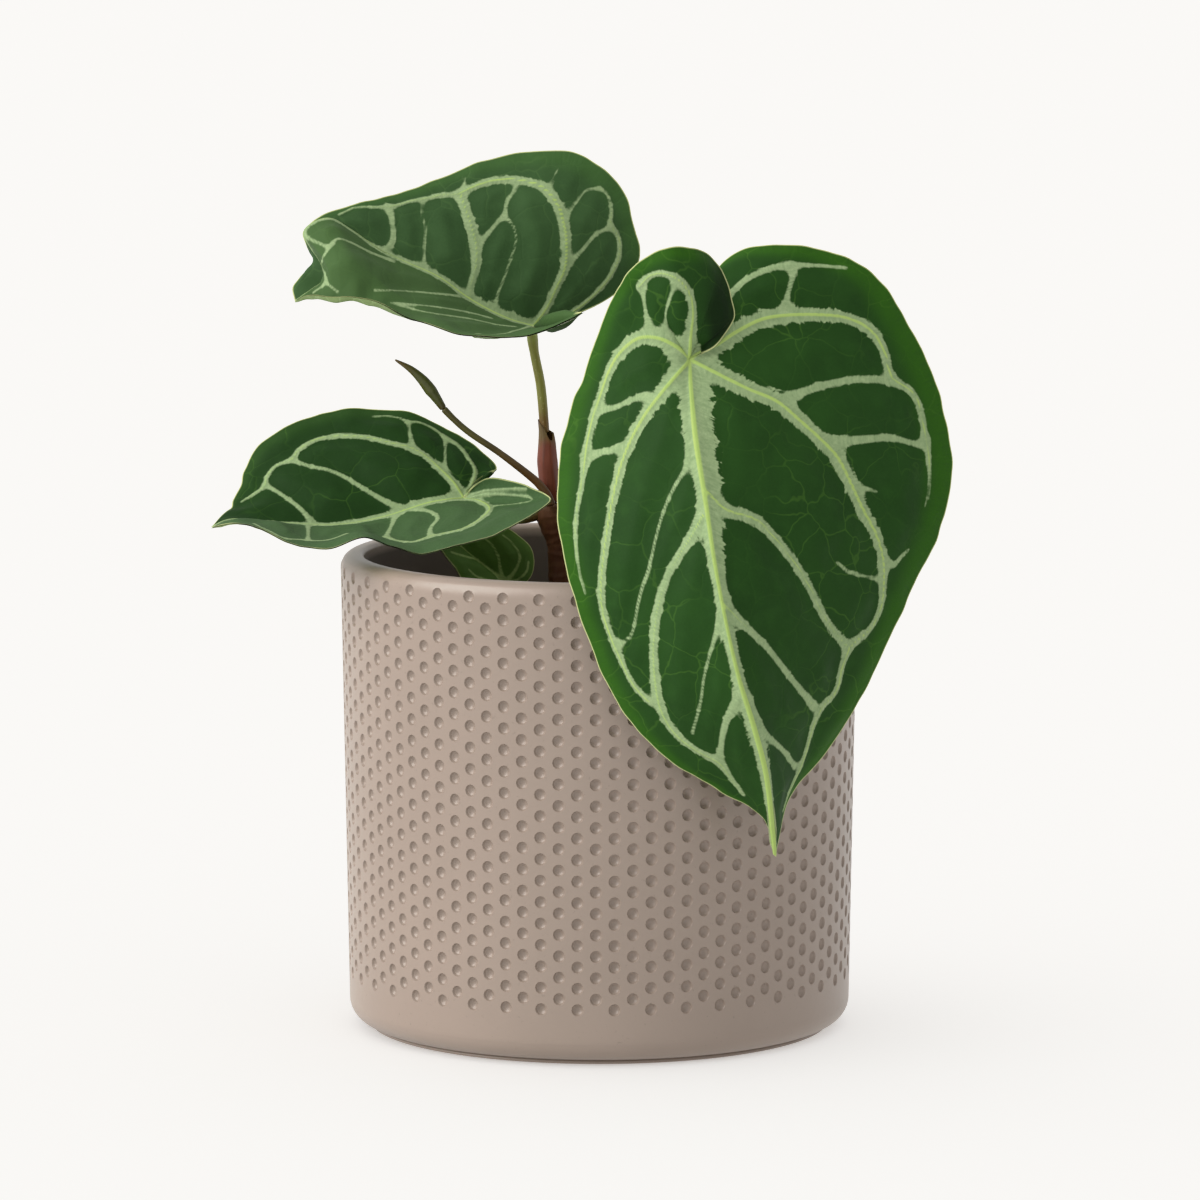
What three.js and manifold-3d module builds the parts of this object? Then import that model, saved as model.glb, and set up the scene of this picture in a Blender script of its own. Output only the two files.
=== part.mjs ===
// Anthurium crystallinum in its dimpled ceramic pot.
// Millimetres, +Z up. The origin is the centre of the pot's flat underside; the front is towards -Y.
import * as THREE from 'three';
import { mergeVertices } from 'three/addons/utils/BufferGeometryUtils.js';
import Module from 'manifold-3d';

const wasm = await Module();
wasm.setup();

// ---- driving dimensions ----
const gap = 0.35;

const pot = {
  rimRadius: 75,
  baseRadius: 72.9,
  height: 138,
  footRadius: 67,
  footHeight: 1.2,
  baseRounding: 6.5,
  wall: 6.8,
  rimRounding: 4,
  lipRounding: 1.6,
  floor: 8,
  innerFloorRadius: 64.5,
  segments: 72,
  footTurn: { from: -75, to: -5, steps: 4 },
  rimTurn: { from: 22, to: 90, steps: 3 },
  lipTurn: { from: 90, to: 180, steps: 2 },
};

const dimples = {
  halfRows: 27,
  top: 134.5,
  bottom: 17,
  depth: 0.8,
};

const soil = {
  top: 108,
  bottom: pot.floor + gap,
  rings: 9,
  segments: 36,
  flatMargin: 1,
  relief: 1.1,
  fineShare: 0.5,
  coarseWaves: { x: 0.33, y: 0.29 },
  fineWaves: { x: 0.8, y: 0.6 },
  holeSides: 16,
  holeDepth: 40,
};

const blade = {
  thickness: 0.8,
  midribDepth: 0.7,
  midribWidth: 0.07,
  pucker: 0.7,
  ribsPerSide: 9,
  droopStart: 0.6,
  tangentStep: 1e-3,
};

const stepsPerStemPoint = 3;

const stems = {
  stem: {
    points: [[-11.5, 4, 96], [-11.5, 4, 128], [-11.8, 4, 140], [-13.6, 3.6, 146], [-14.6, 3.4, 149.5],
      [-14.2, 3.6, 152.5]],
    radii: [3.3, 3.2, 3.3, 4.1, 4.2, 2.9],
    sides: 12,
  },
  sheath: {
    points: [[-13.9, 3.7, 153.2], [-14.6, 3.9, 158], [-15.1, 4, 164], [-15.2, 4, 170], [-15.7, 4, 175.4]],
    radii: [2.5, 2.9, 3.0, 2.5, 1.7],
    sides: 12,
  },
  petiole_large: {
    points: [[-9, 0.5, 151.5], [-5, -5, 166], [2.5, -23, 190], [11.5, -46, 206], [20.5, -65.5, 207.5],
      [24, -70.8, 204.6]],
    radii: [1.9, 1.7, 1.6, 1.6, 1.6, 1.6],
    sides: 10,
  },
  petiole_upper: {
    points: [[-15.8, 4, 176.1], [-17, 3.5, 186], [-18.9, 2.2, 196.3], [-19.8, 0.7, 201.3]],
    radii: [1.45, 1.4, 1.4, 1.5],
    sides: 10,
  },
  petiole_lower: {
    points: [[-19.8, 2.6, 148.5], [-23, 1.5, 147.5], [-30, -2, 148.5], [-36, -4.8, 151],
      [-37.8, -5.5, 152.3]],
    radii: [1.5, 1.3, 1.3, 1.3, 1.3],
    sides: 10,
  },
  petiole_small: {
    points: [[-20, 9, 98], [-20.5, 9, 110], [-23, 8, 120], [-26.5, 6.7, 126.2]],
    radii: [1.1, 1.0, 1.0, 1.0],
    sides: 8,
  },
  flower_stalk: {
    points: [[-13.9, -1.9, 151.5], [-15.3, -1.8, 155], [-17.6, -1.6, 158], [-20.5, -1.8, 160.6],
      [-29, -2.6, 167.2], [-37.8, -3.6, 173.3], [-42, -4, 177], [-44.6, -4.2, 179.6]],
    radii: [1.3, 1.25, 1.15, 1, 0.95, 0.9, 0.9, 0.95],
    sides: 8,
  },
  flower_bud: {
    points: [[-45, -4.3, 180.2], [-47, -4.6, 183.2], [-50, -5, 187.4], [-54, -5.4, 191.4],
      [-58.9, -6, 194.5]],
    radii: [0.9, 1.5, 1.6, 1.0, 0.25],
    sides: 10,
  },
};

// The view that places the leaves: its place in millimetres, pitch in degrees, focal length and centre in pixels.
const view = {
  place: [0.213, -2072, 401],
  pitch: 7.62,
  focal: 7200,
  centre: 600,
};

// Each leaf is lofted from its midrib to its two margins. A margin starts at the junction with the
// petiole, runs round the basal lobe and ends at the drip tip. arch is the rise of the blade between
// midrib and margin, sweep leans the loft lines along the leaf, and droop lets the blade hang below a
// margin that curls up again. The first fan rows of each side all start at the junction. A point of a
// midrib or margin is two pixels of the view, read by eye, and its depth y in millimetres.
const leaves = {
  leaf_large: {
    fan: 12,
    fanPower: 1.15,
    rows: 40,
    columns: 6,
    midrib: [[688, 359, -74], [690, 390, -79], [695, 436, -88], [705, 500, -95], [717, 578, -102],
      [738, 676, -104], [754, 728, -100], [766, 775, -92], [775, 856, -78]],
    left: {
      margin: [[688, 359, -74], [709, 292, -60], [732, 256, -54], [790, 245, -53], [866, 269, -49],
        [913, 333, -47], [940, 400, -47], [951, 472, -49], [937, 536, -54], [906, 600, -60],
        [868, 680, -66], [822, 755, -71], [798, 784, -74], [785, 808, -76], [775, 856, -78]],
      arch: [[0, 0], [0.2, 0.04], [0.4, 0.03], [0.7, 0.03], [1, 0]],
    },
    right: {
      margin: [[688, 359, -74], [716, 347, -77], [734, 318, -73], [713, 261, -72], [670, 247, -80],
        [638, 263, -75], [610, 306, -67], [589, 364, -65], [569, 420, -67], [558, 486, -73],
        [563, 552, -79.5], [586, 631, -81.5], [617, 699, -82], [660, 750, -82], [720, 789, -81],
        [763, 817, -80], [775, 856, -78]],
      arch: [[0, 0], [0.08, 0.06], [0.2, 0.12], [0.3, 0.05], [0.45, 0.03], [0.7, 0.03], [1, 0]],
    },
  },
  leaf_upper: {
    fan: 12,
    fanPower: 1.1,
    rows: 40,
    columns: 5,
    midrib: [[532, 327, 0], [507, 320, -2], [470, 301, -3], [438, 278, -4], [403, 262, -5], [376, 249, -6],
      [350, 231, -7], [330, 220, -8], [314, 224, -9], [305, 233, -10], [312, 247, -10], [322, 262, -11],
      [326, 279, -13], [312, 291, -16], [295, 302, -18]],
    left: {
      margin: [[532, 327, 0], [543, 327, -8], [559, 320, -20], [576, 316, -30], [585, 313, -38],
        [564, 323, -44], [532, 335, -46], [497, 340, -46], [461, 336, -44], [429, 326, -41],
        [403, 317, -38], [380, 304, -35], [359, 299, -32], [339, 297, -29], [321, 296, -26],
        [306, 296, -22], [295, 302, -18]],
      arch: [[0, 0], [0.3, -0.05], [0.6, -0.05], [0.8, 0.05], [1, 0]],
      sweep: [[0, 0], [0.7, 0], [0.85, -0.15], [0.95, -0.1], [1, 0]],
      droop: [[0, 0], [0.55, 0], [0.72, 5], [0.82, 5], [0.93, 2], [1, 0]],
    },
    right: {
      margin: [[532, 327, 0], [555, 321, 2], [585, 311, 6], [612, 296, 10], [633, 273, 13], [639, 250, 14],
        [632, 223, 15], [627, 197, 16], [608, 174, 17], [573, 153, 18], [527, 153, 18], [479, 163, 15],
        [429, 184, 10], [376, 199, 4], [325, 214, -2], [310, 225, -3], [303, 234, -4], [309, 247, -5],
        [318, 263, -6], [303, 275, -9], [293, 288, -13], [295, 302, -18]],
      arch: [[0, 0], [0.2, 0.02], [0.5, 0.05], [0.8, 0.05], [1, 0]],
    },
  },
  leaf_lower: {
    fan: 12,
    fanPower: 1.1,
    rows: 40,
    columns: 5,
    midrib: [[464, 499, -6], [430, 504, -8], [384, 518, -10], [338, 526, -12], [280, 524, -14],
      [230, 521, -17], [211, 528, -19]],
    left: {
      margin: [[464, 499, -6], [473, 486, -8], [487, 478, -10], [508, 480, -14], [531, 487, -20],
        [552, 500, -28], [531, 517, -36], [498, 534, -42], [459, 548, -46], [420, 554, -47],
        [391, 548, -46], [363, 538, -44], [331, 550, -44], [301, 547, -40], [273, 535, -35],
        [246, 525, -29], [228, 525, -24], [211, 528, -19]],
      arch: [[0, 0], [0.3, -0.04], [0.6, -0.04], [0.8, 0.02], [1, 0]],
    },
    right: {
      margin: [[464, 499, -6], [466, 492, -5], [472, 484, -3], [479, 478, -1], [488, 473, 1], [497, 470, 3],
        [492, 462, 6], [473, 445, 10], [443, 428, 14], [407, 413, 16], [365, 409, 17], [319, 416, 16],
        [285, 428, 13], [256, 451, 9], [245, 471, 5], [242, 486, 1], [233, 501, -4], [232, 510, -8],
        [221, 517, -13], [211, 528, -19]],
      arch: [[0, 0], [0.2, 0.04], [0.5, 0.06], [0.8, 0.05], [1, 0]],
    },
  },
  leaf_small: {
    fan: 5,
    fanPower: 1.1,
    rows: 20,
    columns: 3,
    midrib: [[504, 583, 6], [489, 570, 5], [473, 558, 3], [455, 542, 1], [432, 515, 0]],
    left: {
      margin: [[504, 583, 6], [501, 589, 3], [490, 592, -1], [475, 590, -4], [463, 582, -6], [455, 569, -7],
        [445, 557, -7], [438, 545, -6], [433, 531, -3], [432, 515, 0]],
      arch: [[0, 0], [0.5, 0.08], [1, 0]],
    },
    right: {
      margin: [[504, 583, 6], [512, 586, 8], [523, 584, 10], [532, 574, 12], [534, 561, 13], [530, 548, 13],
        [520, 537, 12], [505, 527, 10], [487, 520, 8], [457, 515, 4], [432, 515, 0]],
      arch: [[0, 0], [0.5, 0.08], [1, 0]],
    },
  },
};

// ---- materials ----
const materials = {
  ceramic: new THREE.MeshStandardMaterial({ color: 0xa79a8f, roughness: 0.5, metalness: 0 }),
  soil: new THREE.MeshStandardMaterial({ color: 0x3b2a20, roughness: 0.95, metalness: 0 }),
  leaf: new THREE.MeshStandardMaterial({ color: 0x1f4a22, roughness: 0.6, metalness: 0 }),
  petiole: new THREE.MeshStandardMaterial({ color: 0x7c8a35, roughness: 0.5, metalness: 0 }),
  bark: new THREE.MeshStandardMaterial({ color: 0x6b3a2c, roughness: 0.6, metalness: 0 }),
  bud: new THREE.MeshStandardMaterial({ color: 0x5d6132, roughness: 0.5, metalness: 0 }),
};

// ---- helpers ----
const vector = (p) => new THREE.Vector3(...p);
const curve = (points) => new THREE.CatmullRomCurve3(points.map(vector));

function interpolate(pairs, at) {
  const next = Math.max(1, pairs.findIndex(([x]) => x >= at));
  const [x0, y0] = pairs[next - 1];
  const [x1, y1] = pairs[next];
  return y0 + ((y1 - y0) * (at - x0)) / (x1 - x0);
}

function indexedGeometry(vertices, faces) {
  const geometry = new THREE.BufferGeometry();
  const coordinates = vertices.flatMap((vertex) => vertex.toArray());
  geometry.setAttribute('position', new THREE.Float32BufferAttribute(coordinates, 3));
  geometry.setIndex(faces.flat());
  return geometry;
}

function welded(geometry) {
  geometry.deleteAttribute('normal');
  geometry.deleteAttribute('uv');
  const merged = mergeVertices(geometry, 1e-3);
  const index = merged.index.array;
  const kept = [];
  for (let i = 0; i < index.length; i += 3) {
    const [a, b, c] = index.slice(i, i + 3);
    if (a !== b && b !== c && c !== a) kept.push(a, b, c);
  }
  merged.setIndex(kept);
  return merged;
}

function toManifold(geometry) {
  const merged = welded(geometry.clone());
  return new wasm.Manifold(new wasm.Mesh({
    numProp: 3,
    vertProperties: new Float32Array(merged.attributes.position.array),
    triVerts: new Uint32Array(merged.index.array),
  }));
}

function fromManifold(solid) {
  const { vertProperties, triVerts } = solid.getMesh();
  const geometry = new THREE.BufferGeometry();
  geometry.setAttribute('position', new THREE.Float32BufferAttribute(vertProperties, 3));
  geometry.setIndex([...triVerts]);
  return geometry;
}

function addMesh(group, name, geometry, material) {
  geometry.computeVertexNormals();
  const mesh = new THREE.Mesh(geometry, material);
  mesh.name = name;
  group.add(mesh);
}

// ---- pot: a thick-walled tapering cylinder whose wall is covered in staggered round hollows ----
function wallRadius(z) {
  return pot.baseRadius + ((pot.rimRadius - pot.baseRadius) * z) / pot.height;
}

function innerRadius(z) {
  const lip = pot.rimRadius - pot.wall;
  return pot.innerFloorRadius + ((lip - pot.innerFloorRadius) * (z - pot.floor)) / (pot.height - pot.floor);
}

function roundedCorner(x, z, radius, { from, to, steps }) {
  return Array.from({ length: steps + 1 }, (_, i) => {
    const angle = THREE.MathUtils.degToRad(from + ((to - from) * i) / steps);
    return new THREE.Vector2(x + radius * Math.cos(angle), z + radius * Math.sin(angle));
  });
}

function potGeometry() {
  const { height, rimRadius, footRadius, footHeight, baseRounding, rimRounding, lipRounding, floor } = pot;
  const footTop = new THREE.Vector2(footRadius, footHeight);
  const profile = [new THREE.Vector2(0, 0), new THREE.Vector2(footRadius, 0), footTop];
  const wallFoot = wallRadius(0) - baseRounding;
  profile.push(...roundedCorner(wallFoot, footHeight + baseRounding, baseRounding, pot.footTurn));
  const firstRow = profile.length;
  for (let row = 0; row <= dimples.halfRows; row += 1) {
    const z = dimples.bottom + ((dimples.top - dimples.bottom) * row) / dimples.halfRows;
    profile.push(new THREE.Vector2(wallRadius(z), z));
  }
  const lastRow = profile.length - 1;
  profile[lastRow].y = height - rimRounding;
  profile.push(...roundedCorner(rimRadius - rimRounding, height - rimRounding, rimRounding, pot.rimTurn));
  const lip = rimRadius - pot.wall + lipRounding;
  profile.push(...roundedCorner(lip, height - lipRounding, lipRounding, pot.lipTurn));
  profile.push(new THREE.Vector2(innerRadius(floor), floor), new THREE.Vector2(0, floor));

  const geometry = new THREE.LatheGeometry(profile, pot.segments);
  const position = geometry.attributes.position;
  for (let i = 0; i < position.count; i += 1) {
    const row = i % profile.length;
    const column = Math.floor(i / profile.length);
    const dimpled = row > firstRow && row < lastRow && (row + column) % 2 === 0;
    if (!dimpled) continue;
    const scale = 1 - dimples.depth / profile[row].x;
    position.setX(i, position.getX(i) * scale);
    position.setZ(i, position.getZ(i) * scale);
  }
  return welded(geometry).rotateX(Math.PI / 2);
}

// ---- soil: fills the pot, uneven on top, with plain holes for what stands in it ----
function soilHeight(x, y) {
  const { coarseWaves, fineWaves } = soil;
  const coarse = Math.sin(coarseWaves.x * x) * Math.cos(coarseWaves.y * y);
  const fine = Math.sin(fineWaves.x * x + fineWaves.y * y);
  return soil.top + soil.relief * (coarse + soil.fineShare * fine);
}

function soilGeometry() {
  const edge = innerRadius(soil.top) - gap;
  const foot = innerRadius(soil.bottom) - gap;
  const profile = [new THREE.Vector2(0, soil.bottom), new THREE.Vector2(foot, soil.bottom)];
  for (let ring = soil.rings; ring >= 0; ring -= 1) {
    profile.push(new THREE.Vector2((edge * ring) / soil.rings, soil.top));
  }
  const body = new THREE.LatheGeometry(profile, soil.segments).rotateX(Math.PI / 2);
  const position = body.attributes.position;
  for (let i = 0; i < position.count; i += 1) {
    const x = position.getX(i);
    const y = position.getY(i);
    const isTop = position.getZ(i) > soil.top - soil.flatMargin;
    const isInside = Math.hypot(x, y) < edge - soil.flatMargin;
    if (isTop && isInside) position.setZ(i, soilHeight(x, y));
  }
  const holes = ['stem', 'petiole_small'].map((name) => stemHole(stems[name]));
  return holes.reduce((solid, hole) => solid.subtract(hole), toManifold(body));
}

function stemHole({ points, radii }) {
  const [x, y, foot] = points[0];
  const radius = radii[0] + 2 * gap;
  const hole = new THREE.CylinderGeometry(radius, radius, soil.holeDepth, soil.holeSides);
  hole.rotateX(Math.PI / 2);
  hole.translate(x, y, foot - gap + soil.holeDepth / 2);
  return toManifold(hole);
}

// ---- stems: round tapering shoots with closed ends ----
function stemGeometry({ points, radii, sides }) {
  const path = curve(points);
  const steps = stepsPerStemPoint * (points.length - 1);
  const frames = path.computeFrenetFrames(steps, false);
  const vertices = [];
  const faces = [];
  for (let i = 0; i <= steps; i += 1) {
    const centre = path.getPointAt(i / steps);
    const t = path.getUtoTmapping(i / steps) * (points.length - 1);
    const before = Math.min(Math.floor(t), points.length - 2);
    const radius = THREE.MathUtils.lerp(radii[before], radii[before + 1], t - before);
    for (let side = 0; side < sides; side += 1) {
      const angle = (2 * Math.PI * side) / sides;
      const out = frames.normals[i].clone().multiplyScalar(Math.cos(angle));
      out.addScaledVector(frames.binormals[i], Math.sin(angle));
      vertices.push(centre.clone().addScaledVector(out, radius));
    }
  }
  for (let i = 0; i < steps; i += 1) {
    for (let side = 0; side < sides; side += 1) {
      const a = i * sides + side;
      const b = i * sides + ((side + 1) % sides);
      faces.push([a, b, b + sides], [a, b + sides, a + sides]);
    }
  }
  const last = steps * sides;
  vertices.push(path.getPointAt(0), path.getPointAt(1));
  for (let side = 0; side < sides; side += 1) {
    const next = (side + 1) % sides;
    faces.push([vertices.length - 2, next, side], [vertices.length - 1, last + side, last + next]);
  }
  return indexedGeometry(vertices, faces);
}

// ---- leaves ----
function seenAt([across, down, y]) {
  const pitch = THREE.MathUtils.degToRad(view.pitch);
  const right = (across - view.centre) / view.focal;
  const rise = (view.centre - down) / view.focal;
  const reach = (y - view.place[1]) / (Math.cos(pitch) + rise * Math.sin(pitch));
  const climb = rise * Math.cos(pitch) - Math.sin(pitch);
  return [view.place[0] + reach * right, y, view.place[2] + reach * climb];
}

function loftRow(leaf, side, upSign, u) {
  const { margin, arch, sweep = [[0, 0], [1, 0]] } = leaf[side];
  const edgeCurve = curve(margin.map(seenAt));
  const fan = leaf.fan / leaf.rows;
  const alongMidrib = Math.max(0, (u - fan) / (1 - fan)) ** leaf.fanPower;
  const root = curve(leaf.midrib.map(seenAt)).getPointAt(alongMidrib);
  const edge = edgeCurve.getPoint(u);
  const ahead = edgeCurve.getPoint(Math.min(1, u + blade.tangentStep));
  const behind = edgeCurve.getPoint(Math.max(0, u - blade.tangentStep));
  const along = ahead.sub(behind).normalize();
  const across = edge.clone().sub(root);
  const width = across.length();
  const up = along.clone().cross(across).normalize().multiplyScalar(upSign);
  const middle = root.clone().add(edge).multiplyScalar(0.5);
  middle.addScaledVector(up, width * interpolate(arch, u));
  middle.addScaledVector(along, width * interpolate(sweep, u));
  return { root, middle, edge };
}

function loftPoint(row, v, droop) {
  const point = row.root.clone().multiplyScalar((1 - v) * (1 - 2 * v));
  point.addScaledVector(row.middle, 4 * v * (1 - v));
  point.addScaledVector(row.edge, -v * (1 - 2 * v));
  const outwards = Math.max(0, (v - blade.droopStart) / (1 - blade.droopStart));
  point.z -= droop * Math.sin(Math.PI * outwards);
  return point;
}

// One sheet of merged points: the fan of rows round each basal lobe shares the junction with the petiole.
function bladeSheet(leaf) {
  const { rows, columns, fan } = leaf;
  const points = [];
  const relief = [];
  const ribs = [];
  const shared = new Map();
  const faces = [];
  const margins = {};

  const pointIndex = (side, row, column, point, u, v) => {
    const isEnd = row === 0 || row === rows;
    const key = isEnd ? `end${row}` : column === 0 ? `mid${Math.max(row, fan)}` : `${side}${row}_${column}`;
    const name = key === `mid${fan}` ? 'end0' : key;
    if (!shared.has(name)) {
      shared.set(name, points.length);
      points.push(point);
      relief.push(blade.pucker * Math.sin(Math.PI * blade.ribsPerSide * u) ** 2 * Math.sin(Math.PI * v));
      ribs.push(blade.midribDepth * Math.exp(-((v / blade.midribWidth) ** 2)));
    }
    return shared.get(name);
  };

  for (const [side, upSign] of [['left', 1], ['right', -1]]) {
    const lattice = Array.from({ length: rows + 1 }, (_, row) => {
      const u = row / rows;
      const loft = loftRow(leaf, side, upSign, u);
      const droop = interpolate(leaf[side].droop ?? [[0, 0], [1, 0]], u);
      return Array.from({ length: columns + 1 }, (__, column) => {
        const v = column / columns;
        return pointIndex(side, row, column, loftPoint(loft, v, droop), u, v);
      });
    });
    for (let row = 0; row < rows; row += 1) {
      for (let column = 0; column < columns; column += 1) {
        const [a, b] = [lattice[row][column], lattice[row][column + 1]];
        const [c, d] = [lattice[row + 1][column + 1], lattice[row + 1][column]];
        const pair = [[a, b, c], [a, c, d]].filter(([x, y, z]) => x !== y && y !== z && z !== x);
        faces.push(...pair.map((face) => (upSign > 0 ? face.reverse() : face)));
      }
    }
    margins[side] = lattice.map((line) => line[columns]);
  }
  return { points, relief, ribs, faces, margins };
}

function sheetNormals(points, faces) {
  const normals = points.map(() => new THREE.Vector3());
  for (const [a, b, c] of faces) {
    const ab = points[b].clone().sub(points[a]);
    const ac = points[c].clone().sub(points[a]);
    const normal = ab.cross(ac);
    [a, b, c].forEach((i) => normals[i].add(normal));
  }
  return normals.map((normal) => normal.normalize());
}

function leafGeometry(leaf) {
  const { points, relief, ribs, faces, margins } = bladeSheet(leaf);
  const normals = sheetNormals(points, faces);
  const count = points.length;
  const half = blade.thickness / 2;
  const upper = points.map((p, i) => p.clone().addScaledVector(normals[i], relief[i] + half));
  const lower = points.map((p, i) => p.clone().addScaledVector(normals[i], relief[i] - half - ribs[i]));
  const solid = faces.flatMap(([a, b, c]) => [[a, b, c], [c + count, b + count, a + count]]);
  for (const [side, flip] of [['left', false], ['right', true]]) {
    const line = margins[side];
    for (let i = 0; i + 1 < line.length; i += 1) {
      const [a, b] = flip ? [line[i + 1], line[i]] : [line[i], line[i + 1]];
      solid.push([a, b, b + count], [a, b + count, a + count]);
    }
  }
  return indexedGeometry([...upper, ...lower], solid);
}

// ---- the plant in its pot ----
const plant = new THREE.Group();
addMesh(plant, 'pot', potGeometry(), materials.ceramic);
addMesh(plant, 'soil', fromManifold(soilGeometry()), materials.soil);
for (const [name, leaf] of Object.entries(leaves)) {
  addMesh(plant, name, leafGeometry(leaf), materials.leaf.clone());
}
const stemMaterial = {
  stem: materials.bark,
  sheath: materials.bark,
  flower_stalk: materials.bark,
  flower_bud: materials.bud,
};
for (const [name, shoot] of Object.entries(stems)) {
  addMesh(plant, name, stemGeometry(shoot), (stemMaterial[name] ?? materials.petiole).clone());
}

export default plant;
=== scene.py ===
# Anthurium crystallinum in a dimpled pot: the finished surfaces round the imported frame.
import math
import random

import bmesh
import bpy
import numpy as np
from mathutils import Matrix, Vector, noise


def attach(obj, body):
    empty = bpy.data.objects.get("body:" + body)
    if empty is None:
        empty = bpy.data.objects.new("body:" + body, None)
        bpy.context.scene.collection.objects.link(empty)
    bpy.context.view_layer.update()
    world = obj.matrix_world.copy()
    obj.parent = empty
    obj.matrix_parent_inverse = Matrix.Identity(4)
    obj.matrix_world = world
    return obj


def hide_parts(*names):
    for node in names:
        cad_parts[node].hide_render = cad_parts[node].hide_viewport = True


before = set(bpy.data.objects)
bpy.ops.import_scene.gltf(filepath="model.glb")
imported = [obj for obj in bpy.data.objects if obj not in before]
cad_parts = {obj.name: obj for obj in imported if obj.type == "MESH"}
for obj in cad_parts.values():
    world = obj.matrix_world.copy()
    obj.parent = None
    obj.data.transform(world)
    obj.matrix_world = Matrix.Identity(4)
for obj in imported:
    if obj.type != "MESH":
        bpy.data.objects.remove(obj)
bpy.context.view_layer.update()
mm = 0.001
scene = bpy.context.scene


# numbers and curves
def smoothStep(value, low, high):
    share = np.clip((value - low) / (high - low), 0, 1)
    return share * share * (3 - 2 * share)


def unit(vectors):
    return vectors / np.maximum(np.linalg.norm(vectors, axis=-1, keepdims=True), 1e-12)


def spline(points, at):
    # centripetal Catmull-Rom through the points, at from 0 to 1 by point number
    points = np.array(points, float)
    place = np.clip(np.asarray(at, float), 0, 1) * (len(points) - 1)
    first = np.minimum(place.astype(int), len(points) - 2)
    w = (place - first)[:, None]
    padded = np.vstack([2 * points[0] - points[1], points, 2 * points[-1] - points[-2]])
    a, b, c, d = (padded[first + k] for k in range(4))
    gaps = (np.linalg.norm(q - p, axis=1) for p, q in ((a, b), (b, c), (c, d)))
    before, here, after = (np.maximum(gap, 1e-9)[:, None] ** 0.5 for gap in gaps)
    start = ((b - a) / before - (c - a) / (before + here) + (c - b) / here) * here
    end = ((c - b) / here - (d - b) / (here + after) + (d - c) / after) * here
    return b + start * w + (3 * (c - b) - 2 * start - end) * w**2 + (2 * (b - c) + start + end) * w**3


def evenSpline(points, at):
    # the same curve, at from 0 to 1 by length
    dense = spline(points, np.linspace(0, 1, 801))
    length = np.r_[0, np.cumsum(np.linalg.norm(np.diff(dense, axis=0), axis=1))]
    return np.stack([np.interp(np.asarray(at) * length[-1], length, column) for column in dense.T], -1)


def steps(pairs, at):
    return np.interp(at, [x for x, _ in pairs], [y for _, y in pairs])


# shader graphs
class Wire:
    # one output socket that Python arithmetic works on
    def __init__(self, graph, socket):
        self.graph = graph
        self.socket = socket

    def maths(self, operation, *values):
        return self.graph.node("ShaderNodeMath", {"operation": operation}, dict(enumerate(values)))

    def __add__(self, other):
        return self.maths("ADD", self, other)

    def __radd__(self, other):
        return self.maths("ADD", other, self)

    def __sub__(self, other):
        return self.maths("SUBTRACT", self, other)

    def __rsub__(self, other):
        return self.maths("SUBTRACT", other, self)

    def __mul__(self, other):
        return self.maths("MULTIPLY", self, other)

    def __rmul__(self, other):
        return self.maths("MULTIPLY", other, self)


class Graph:
    def __init__(self, name):
        self.material = bpy.data.materials.new(name)
        self.material.use_nodes = True
        self.tree = self.material.node_tree
        self.tree.nodes.clear()

    def node(self, kind, settings=None, sockets=None, output=0):
        made = self.tree.nodes.new(kind)
        for key, value in (settings or {}).items():
            setattr(made, key, value)
        for key, value in (sockets or {}).items():
            if isinstance(value, Wire):
                self.tree.links.new(value.socket, made.inputs[key])
            else:
                made.inputs[key].default_value = value
        return Wire(self, made.outputs[output])

    def attribute(self, name):
        return self.node("ShaderNodeAttribute", {"attribute_name": name}, output=2)

    def place(self):
        return self.node("ShaderNodeTexCoord", output=3)

    def height(self):
        return self.node("ShaderNodeSeparateXYZ", sockets={0: self.place()}, output=2)

    def mix(self, share, first, second):
        settings = {"data_type": "RGBA", "clamp_factor": True}
        return self.node("ShaderNodeMix", settings, {0: share, 6: first, 7: second}, 2)

    def soft(self, value, low, high):
        settings = {"interpolation_type": "SMOOTHSTEP"}
        return self.node("ShaderNodeMapRange", settings, {0: value, 1: low, 2: high})

    def noise(self, vector, scale, detail=2.0, roughness=0.5):
        sockets = {"Vector": vector, "Scale": scale, "Detail": detail, "Roughness": roughness}
        return self.node("ShaderNodeTexNoise", {}, sockets)

    def stretched(self, vector, scale):
        return self.node("ShaderNodeVectorMath", {"operation": "MULTIPLY"}, {0: vector, 1: scale})

    def cells(self, vector, scale):
        # the distance to the edge of a net of cells
        sockets = {"Vector": vector, "Scale": scale}
        return self.node("ShaderNodeTexVoronoi", {"feature": "DISTANCE_TO_EDGE"}, sockets)

    def bump(self, height, distance, strength=1.0):
        sockets = {"Height": height, "Distance": distance, "Strength": strength}
        return self.node("ShaderNodeBump", {}, sockets)

    def surface(self, colour, roughness, normal=None, **constant):
        sockets = {"Base Color": colour, "Roughness": roughness}
        sockets.update({key.replace("_", " "): value for key, value in constant.items()})
        if normal:
            sockets["Normal"] = normal
        shader = self.node("ShaderNodeBsdfPrincipled", {}, sockets)
        output = self.tree.nodes.new("ShaderNodeOutputMaterial")
        self.tree.links.new(shader.socket, output.inputs[0])
        return self.material


def srgb(*levels):
    # screen levels from 0 to 255 as a linear colour
    parts = [level / 255 for level in levels]
    return (*(p / 12.92 if p <= 0.04045 else ((p + 0.055) / 1.055) ** 2.4 for p in parts), 1)


# meshes
def gridMesh(acrossCount, alongCount):
    # a flat grid; each vertex gets its two shares from 0 to 1
    bm = bmesh.new()
    bmesh.ops.create_grid(bm, x_segments=acrossCount, y_segments=alongCount, size=0.5)
    shares = np.array([(v.co.x + 0.5, v.co.y + 0.5) for v in bm.verts])
    return bm, shares


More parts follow.
